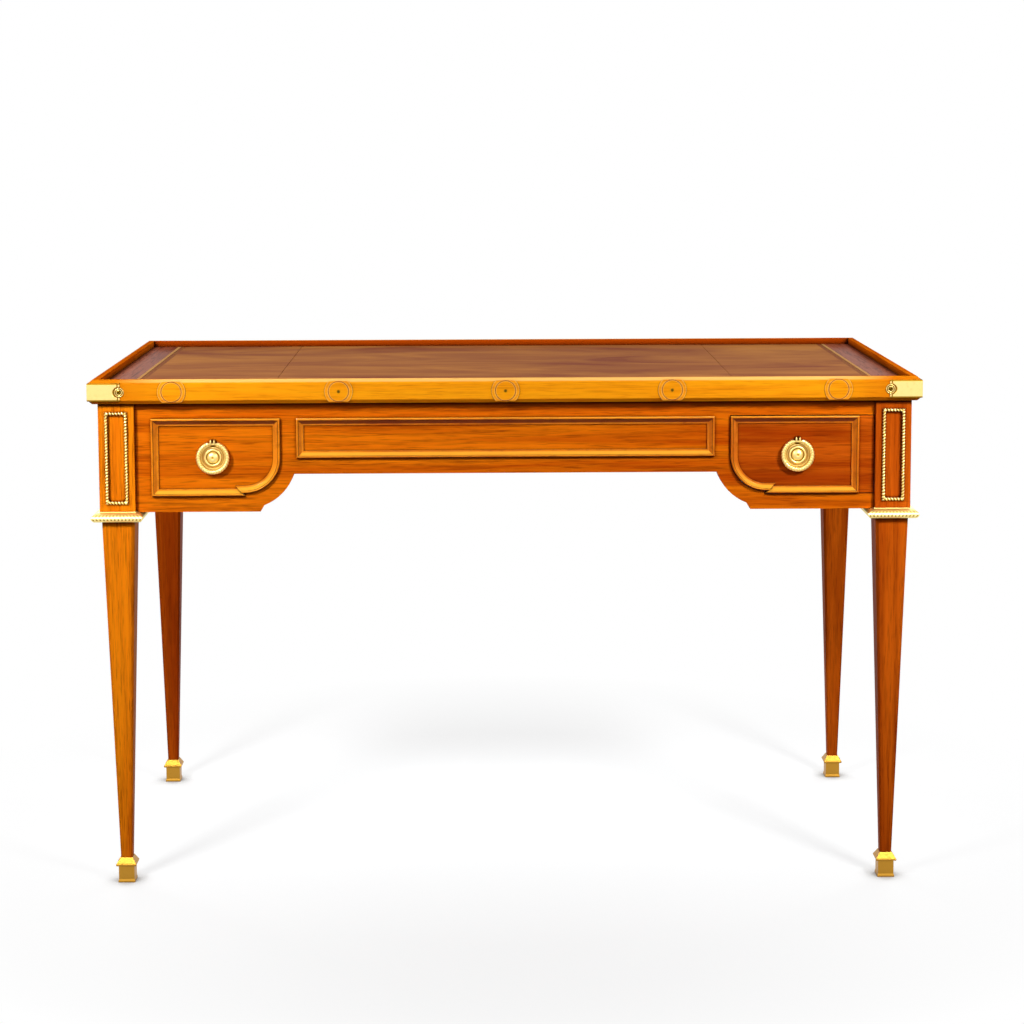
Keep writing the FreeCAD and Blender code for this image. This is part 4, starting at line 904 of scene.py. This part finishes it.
class GAMES_OT_metal(Operator):
    """Finishes the brass plates, nuts, straps, sabots, screws and pins of the CAD"""

    bl_idname = "games_table.metal"
    bl_label = "Finish the brass"

    def execute(self, context):
        _, colours = settings(context)
        # Turned and burnished brass of the plates and nuts: bright, olive in the quirks
        bright = tones_of(colours, "brass gilt_shade tarnish")
        wear("front_sham_pull_plate back_sham_pull_plate front_drawer_pull_plate back_drawer_pull_plate"
             " front_drawer_pull_nut back_drawer_pull_nut sham_pull_nuts corner_straps",
             worked_brass("Turned brass plate", bright, 0.26, 0.35, 0.9, 0.1))
        # Cast brass of the feet, worn and stained on the floor
        aged = tones_of(colours, "aged_brass aged_brass tarnish")
        wear("sabots", worked_brass("Worn cast brass", aged, 0.36, 0.2, 0.9, 0.7))
        # Pins and screws, darkened by handling
        dark = tones_of(colours, "tarnish tarnish wax")
        wear("strap_screws roundel_pins", worked_brass("Darkened brass pin", dark, 0.4, 0.2, 0.9, 0.5))
        return {"FINISHED"}


class GAMES_OT_mouldings(Operator):
    """Carries the mouldings round the frieze panels and the drawers"""

    bl_idname = "games_table.mouldings"
    bl_label = "Mouldings"

    def execute(self, context):
        sizes, colours = settings(context)
        # Scraped and polished mouldings: bright along the bead, with painted light on slopes that look up and
        # painted shade on those that look down and in the quirks
        dusted, = tones_of(colours, "bead_upward_light")
        wood = polished_wood("Polished mahogany bead", (0.12, 0.12, 0.12),
                             tones_of(colours, "bead_pale bead_deep pore wax"), 0.34, coat=0.2, streak=0.35,
                             shade_reach=0.004, dusted=dusted)
        profile = moulding_profile(sizes)
        for side, axis, sign in (("front", "y", -1), ("back", "y", 1), ("left", "x", -1), ("right", "x", 1)):
            node = side + "_panel_moulding"
            low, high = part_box(node)
            half = high.y if axis == "x" else high.x
            path = np.array([(half, low.z), (-half, low.z), (-half, high.z), (half, high.z)])
            face = (sign * sizes.face_x, 0, 0) if axis == "x" else (0, sign * sizes.face_y, 0)
            bead = put(carried(path, profile), face, axis, sign)
            make_piece(side + "_panel_bead", [bead], wood, "case", [node])
        slant = ((1, 1), (1, 1))
        round_drawer = carried(drawer_path(sizes, *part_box("front_drawer_moulding")), profile, slant)
        points, faces, marks = put(round_drawer, (0, -sizes.face_y, 0), "y", -1)
        for name, body, places, node in (
                ("front_drawer_bead", "front_drawer", [(1, 1)], "front_drawer_moulding"),
                ("back_drawer_bead", "back_drawer", [(-1, -1)], "back_drawer_moulding"),
                ("sham_drawer_beads", "case", [(-1, 1), (1, -1)], "sham_drawer_mouldings")):
            beads = [shell(points * (sx, sy, 1), faces, marks) for sx, sy in places]
            make_piece(name, beads, wood, body, [node])
        return {"FINISHED"}


class GAMES_OT_straps(Operator):
    """Makes the bevelled corner straps with their bosses and slotted screws"""

    bl_idname = "games_table.straps"
    bl_label = "Corner straps"

    def execute(self, context):
        sizes, colours = settings(context)
        # Lacquered brass plate, brushed upright: even and bright, with olive bevels
        bright = tones_of(colours, "brass gilt_shade tarnish")
        plate = worked_brass("Brushed brass strap", bright, 0.34, 0.1, 0.5, 0.1, (1.0, 1.0, 0.05))
        # Olive brown, from the dirt that a screw head holds
        dark = tones_of(colours, "tarnish tarnish wax")
        brown = worked_brass("Browned brass screw", dark, 0.45, 0.2, 0.8, 0.6)
        upper, lower, marks = dressed_strap(sizes)
        boss, head = turned_boss(sizes), slotted_head(sizes)
        straps = []
        screws = []
        for sx, sy in CORNERS:
            straps.append(slab(upper * (sx, sy, 1), lower * (sx, sy, 1), marks))
            on_long = (sx * (sizes.edge_x - sizes.strap_reach), sy * sizes.edge_y, sizes.edge_z), "y", sy
            on_short = (sx * sizes.edge_x, sy * (sizes.edge_y - sizes.strap_reach), sizes.edge_z), "x", sx
            for place in (on_long, on_short):
                straps.append(put(boss, *place))
                screws.append(put(head, *place))
        make_piece("dressed_straps", straps, plate, "case", ["corner_straps"])
        make_piece("slotted_screws", screws, brown, "case", ["strap_screws"])
        return {"FINISHED"}


class GAMES_OT_roundels(Operator):
    """Makes the turned roundels on the long edges of the top"""

    bl_idname = "games_table.roundels"
    bl_label = "Turned roundels"

    def execute(self, context):
        sizes, colours = settings(context)
        # Turned from the same pale wood as the edge, with painted shade in the grooves and painted highlights
        # on the lips
        *tones, rubbed = tones_of(colours, "edge_pale edge_deep amber_deep russet_deep edge_rubbed")
        wood = polished_wood("Pale mahogany roundel", LONG, tones, 0.38, streak=0.45,
                             rubbed=rubbed)
        roundel = turned_roundel(sizes)
        shells = [put(roundel, (x, sy * sizes.edge_y, sizes.edge_z), "y", sy)
                  for x in np.linspace(-sizes.roundel_reach, sizes.roundel_reach, 5) for sy in (-1, 1)]
        make_piece("turned_roundels", shells, wood, "case", ["edge_roundels"])
        return {"FINISHED"}


class GAMES_OT_ropes(Operator):
    """Makes the rope frames on the outer faces of the posts"""

    bl_idname = "games_table.ropes"
    bl_label = "Rope frames"

    def execute(self, context):
        sizes, colours = settings(context)
        # Chased gilt brass, dark between the strands
        tones = tones_of(colours, "gilt gilt_shade tarnish")
        gilt = worked_brass("Chased gilt brass rope", tones, 0.3, 0.1, 0.5, 0.1)
        front, side = rope_frame(sizes, sizes.rope_rise), rope_frame(sizes, sizes.rope_rise_ends)
        shells = []
        for sx, sy in CORNERS:
            shells.append(put(front, (sx * sizes.leg_x, sy * sizes.post_face_y, sizes.rope_middle), "y", sy))
            shells.append(put(side, (sx * sizes.post_face_x, sy * sizes.leg_y, sizes.rope_middle), "x", sx))
        make_piece("rope_frames", shells, gilt, "case", ["post_rope_frames"])
        return {"FINISHED"}


class GAMES_OT_collars(Operator):
    """Makes the leafy collars under the posts"""

    bl_idname = "games_table.collars"
    bl_label = "Leg collars"

    def execute(self, context):
        sizes, colours = settings(context)
        # Chased gilt brass, burnished on the leaves
        tones = tones_of(colours, "gilt gilt_shade tarnish")
        gilt = worked_brass("Chased gilt brass collar", tones, 0.42, 0.1, 0.5, 0.1)
        points, faces, marks = carved_collar(sizes)
        shells = [shell(points + (sx * sizes.leg_x, sy * sizes.leg_y, sizes.collar_top), faces, marks)
                  for sx, sy in CORNERS]
        make_piece("carved_collars", shells, gilt, "case", ["leg_collars"])
        return {"FINISHED"}


class GAMES_OT_pulls(Operator):
    """Makes the leafy rings of the four pulls, and the roses and lugs that they hang on"""

    bl_idname = "games_table.pulls"
    bl_label = "Ring pulls"

    def execute(self, context):
        sizes, colours = settings(context)
        tones = tones_of(colours, "brass gilt_shade wax")
        # Cast and chased gilt brass
        gilt = worked_brass("Cast gilt brass ring", tones, 0.28, 0.1, 0.4, 0.1)
        # Turned and burnished, deep gold in the quirks
        bright = worked_brass("Burnished brass rose", tones, 0.36, 0.1, 0.4, 0.08)
        ring = leafy_ring(sizes)
        rose = [turned_rose(), lug_prong(sizes, -1), lug_prong(sizes, 1)]
        for name, sx, sy, holder in (
                ("front_drawer", 1, -1, "front_drawer"), ("back_drawer", -1, 1, "back_drawer"),
                ("front_sham", -1, -1, "case"), ("back_sham", 1, 1, "case")):
            place = (sx * sizes.pull_x, sy * sizes.pull_y, sizes.pull_z)
            hung = [put(form, place, "y", sy) for form in ring]
            make_piece(name + "_leafy_ring", hung, gilt, name + "_ring", [name + "_pull_ring"])
            seat = (sx * sizes.pull_x, sy * sizes.face_y, sizes.pull_z)
            fixed = [put(form, seat, "y", sy) for form in rose]
            make_piece(name + "_pull_rose", fixed, bright, holder, [name + "_pull_plate"])
        return {"FINISHED"}


class GAMES_OT_leathers(Operator):
    """Lays the leather on the lift-out panel and on the end boards"""

    bl_idname = "games_table.leathers"
    bl_label = "Leather skins"

    def execute(self, context):
        sizes, colours = settings(context)
        high = sizes.leather_level
        low = high - sizes.leather_thickness
        inner, outer = sizes.end_leather_inner, sizes.end_leather_outer
        # Old waxed calf: cloudy, rubbed ochre, with a tooled border at its ends
        tones = tones_of(colours, "leather_pale leather_deep leather_band")
        calf = waxed_leather("Waxed calf leather", tones, outer - sizes.band_width)
        middle = skin(panel_low.x, panel_high.x, panel_low.y, panel_high.y, low, high,
                      sizes.leather_swell, 0.4)
        made = make_piece("panel_leather_skin", [middle], calf, "games_panel",
                          ["games_panel_leather"])
        for side, start, stop, seed in (("left", -outer, -inner, 1.7), ("right", inner, outer, 2.9)):
            piece = skin(start, stop, ends_low.y, ends_high.y, low, high, sizes.leather_swell, seed)
            made = make_piece(side + "_leather_skin", [piece], calf, "case", ["end_leathers"])
        return {"FINISHED"}


class GAMES_OT_baize(Operator):
    """Lays the baize on the underside of the lift-out panel"""

    bl_idname = "games_table.baize"
    bl_label = "Baize"

    def execute(self, context):
        sizes, colours = settings(context)
        # Napped wool cloth: matt, with a soft sheen at its edges
        cloth = napped_baize("Green wool baize", *tones_of(colours, "baize"))
        low, high = baize_low, baize_high
        points, faces, marks = skin(low.x, high.x, low.y, high.y, 0.0, sizes.baize_thickness,
                                    sizes.baize_swell, 0.9)
        hung = shell(points * (1, 1, -1) + (0, 0, high.z), faces, marks)
        made = make_piece("panel_baize_cloth", [hung], cloth, "games_panel", ["games_panel_baize"])
        return {"FINISHED"}


class GAMES_OT_stage(Operator):
    """Sets up the floor, the soft lights, the white room and the camera"""

    bl_idname = "games_table.stage"
    bl_label = "Studio"

    def execute(self, context):
        scene = context.scene
        stage = scene.games_table_stage
        scene.view_settings.view_transform = "Standard"
        self.lay_floor(scene, stage)
        self.light_room(scene, stage)
        frieze, all_round = 0.45, math.pi
        for name, power, place, size, aim, spread in (
                ("Left softbox", stage.left_power, (-1.3, -1.65, 1.72), (0.4, 0.4), -0.4, stage.spread),
                ("Right softbox", stage.right_power, (1.3, -1.65, 1.72), (0.4, 0.4), 0.4, stage.spread),
                ("Front screen", stage.front_power, (0.0, -4.6, 1.9), (3.6, 2.0), 0.0, all_round),
                ("Rear left softbox", stage.rear_power, (-1.6, 1.9, 2.3), (1.8, 1.4), 0.0, all_round),
                ("Rear right softbox", stage.rear_power, (1.6, 1.9, 2.3), (1.8, 1.4), 0.0, all_round)):
            self.hang_light(scene, name, power, place, size, (aim, 0, frieze), spread)
        self.aim_camera(scene, stage)
        return {"FINISHED"}

    def shown(self, tree):
        """1 where the camera, a reflection or a clear body looks, 0 where light bounces."""
        rays = add(tree, "LightPath").outputs
        mirrored = reckon(tree, "MAXIMUM", rays["Is Camera Ray"], rays["Is Glossy Ray"])
        return reckon(tree, "MAXIMUM", mirrored, rays["Is Transmission Ray"])

    def lay_floor(self, scene, stage):
        """Pale floor that fades to white away from the table. It shows contact shadows, deepened by a painted
        shadow where its glow dims near the feet, and soft leg shadows, and throws only a little light back
        up."""
        reach = 9.0
        mesh = bpy.data.meshes.new("floor")
        mesh.from_pydata([(-reach, -reach, 0), (reach, -reach, 0), (reach, reach, 0), (-reach, reach, 0)], [],
                         [(0, 1, 2, 3)])
        floor = bpy.data.objects.new("floor", mesh)
        scene.collection.objects.link(floor)
        material = bpy.data.materials.new("Pale studio floor")
        tree = empty_tree(material)
        pale, grey = tones_of(stage, "floor bounce")
        away = add(tree, "VectorMath", {0: spot(tree)}, operation="LENGTH").outputs["Value"]
        near = add(tree, "AmbientOcclusion", {"Distance": 0.03}, samples=8).outputs["AO"]
        matt = add(tree, "BsdfDiffuse", {"Color": pale}).outputs["BSDF"]
        # Painted contact shadow: the glow dims where ambient occlusion finds the feet near
        glow = add(tree, "Emission", {"Strength": ramp(tree, near, 0.45, 0.95, end=0.70)}).outputs["Emission"]
        lit = add(tree, "AddShader", {0: matt, 1: glow}).outputs["Shader"]
        white = add(tree, "Emission").outputs["Emission"]
        faded = add(tree, "MixShader", {0: ramp(tree, away, 0.55, 1.0), 1: lit, 2: white}).outputs["Shader"]
        dim = add(tree, "BsdfDiffuse", {"Color": grey}).outputs["BSDF"]
        mixed = add(tree, "MixShader", {0: self.shown(tree), 1: dim, 2: faded}).outputs["Shader"]
        add(tree, "OutputMaterial", {"Surface": mixed})
        mesh.materials.append(material)

    def light_room(self, scene, stage):
        """White behind the table and in reflections, and an even low light from all round."""
        world = bpy.data.worlds.new("White studio")
        tree = empty_tree(world)
        even, white = (
            add(tree, "Background", {"Color": (1, 1, 1, 1), "Strength": strength}).outputs["Background"]
            for strength in (stage.room, 1.0))
        mixed = add(tree, "MixShader", {0: self.shown(tree), 1: even, 2: white}).outputs["Shader"]
        add(tree, "OutputWorld", {"Surface": mixed})
        scene.world = world

    def hang_light(self, scene, name, power, place, size, aim, spread):
        """Rectangular softbox that looks from its place at a point, with its beam kept to spread."""
        light = bpy.data.lights.new(name, "AREA")
        light.energy = power
        light.shape = "RECTANGLE"
        light.size, light.size_y = size
        light.spread = spread
        made = bpy.data.objects.new(name, light)
        made.location = place
        made.rotation_euler = (Vector(aim) - Vector(place)).to_track_quat("-Z", "Y").to_euler()
        scene.collection.objects.link(made)

    def aim_camera(self, scene, stage):
        """Camera from its yaw, pitch and roll: ahead = (sin y cos p, cos y cos p, -sin p)."""
        yaw, pitch, roll = stage.camera_yaw, stage.camera_pitch, stage.camera_roll
        ahead = Vector((math.sin(yaw) * math.cos(pitch), math.cos(yaw) * math.cos(pitch), -math.sin(pitch)))
        level = Vector((math.cos(yaw), -math.sin(yaw), 0))
        right = math.cos(roll) * level + math.sin(roll) * ahead.cross(level)
        up = ahead.cross(right) * -1
        camera = bpy.data.cameras.new("Camera")
        camera.lens = stage.camera_lens
        camera.sensor_width = 36.0
        camera.shift_x, camera.shift_y = stage.camera_shift
        camera.dof.use_dof = False
        made = bpy.data.objects.new("Camera", camera)
        turn = Matrix((right, up, -ahead)).transposed()
        made.matrix_world = Matrix.Translation(stage.camera_place) @ turn.to_4x4()
        scene.collection.objects.link(made)
        scene.camera = made


class GAMES_PT_table(Panel):
    """Sidebar panel with the sizes, colours and steps"""

    bl_label = "Games table"
    bl_idname = "GAMES_PT_table"
    bl_space_type = "VIEW_3D"
    bl_region_type = "UI"
    bl_category = "Games table"

    def draw(self, context):
        for step in STEPS:
            self.layout.operator(step.bl_idname)
        for group in (*settings(context), context.scene.games_table_stage):
            column = self.layout.column()
            for name in group.__annotations__:
                column.prop(group, name)


STEPS = (
    GAMES_OT_wood, GAMES_OT_metal, GAMES_OT_mouldings, GAMES_OT_straps, GAMES_OT_roundels, GAMES_OT_ropes,
    GAMES_OT_collars, GAMES_OT_pulls, GAMES_OT_leathers, GAMES_OT_baize, GAMES_OT_stage)
CLASSES = (GamesTableSizes, GamesTableColours, GamesTableStage, *STEPS, GAMES_PT_table)


def register():
    for kind in CLASSES:
        bpy.utils.register_class(kind)
    bpy.types.Scene.games_table_sizes = PointerProperty(type=GamesTableSizes)
    bpy.types.Scene.games_table_colours = PointerProperty(type=GamesTableColours)
    bpy.types.Scene.games_table_stage = PointerProperty(type=GamesTableStage)


def unregister():
    del bpy.types.Scene.games_table_stage
    del bpy.types.Scene.games_table_colours
    del bpy.types.Scene.games_table_sizes
    for kind in reversed(CLASSES):
        bpy.utils.unregister_class(kind)


def main():
    """Builds the looks."""
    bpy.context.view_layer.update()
    register()
    bpy.ops.games_table.wood()
    bpy.ops.games_table.metal()
    bpy.ops.games_table.mouldings()
    bpy.ops.games_table.straps()
    bpy.ops.games_table.roundels()
    bpy.ops.games_table.ropes()
    bpy.ops.games_table.collars()
    bpy.ops.games_table.pulls()
    bpy.ops.games_table.leathers()
    bpy.ops.games_table.baize()
    bpy.ops.games_table.stage()


if __name__ == "__main__":
    main()
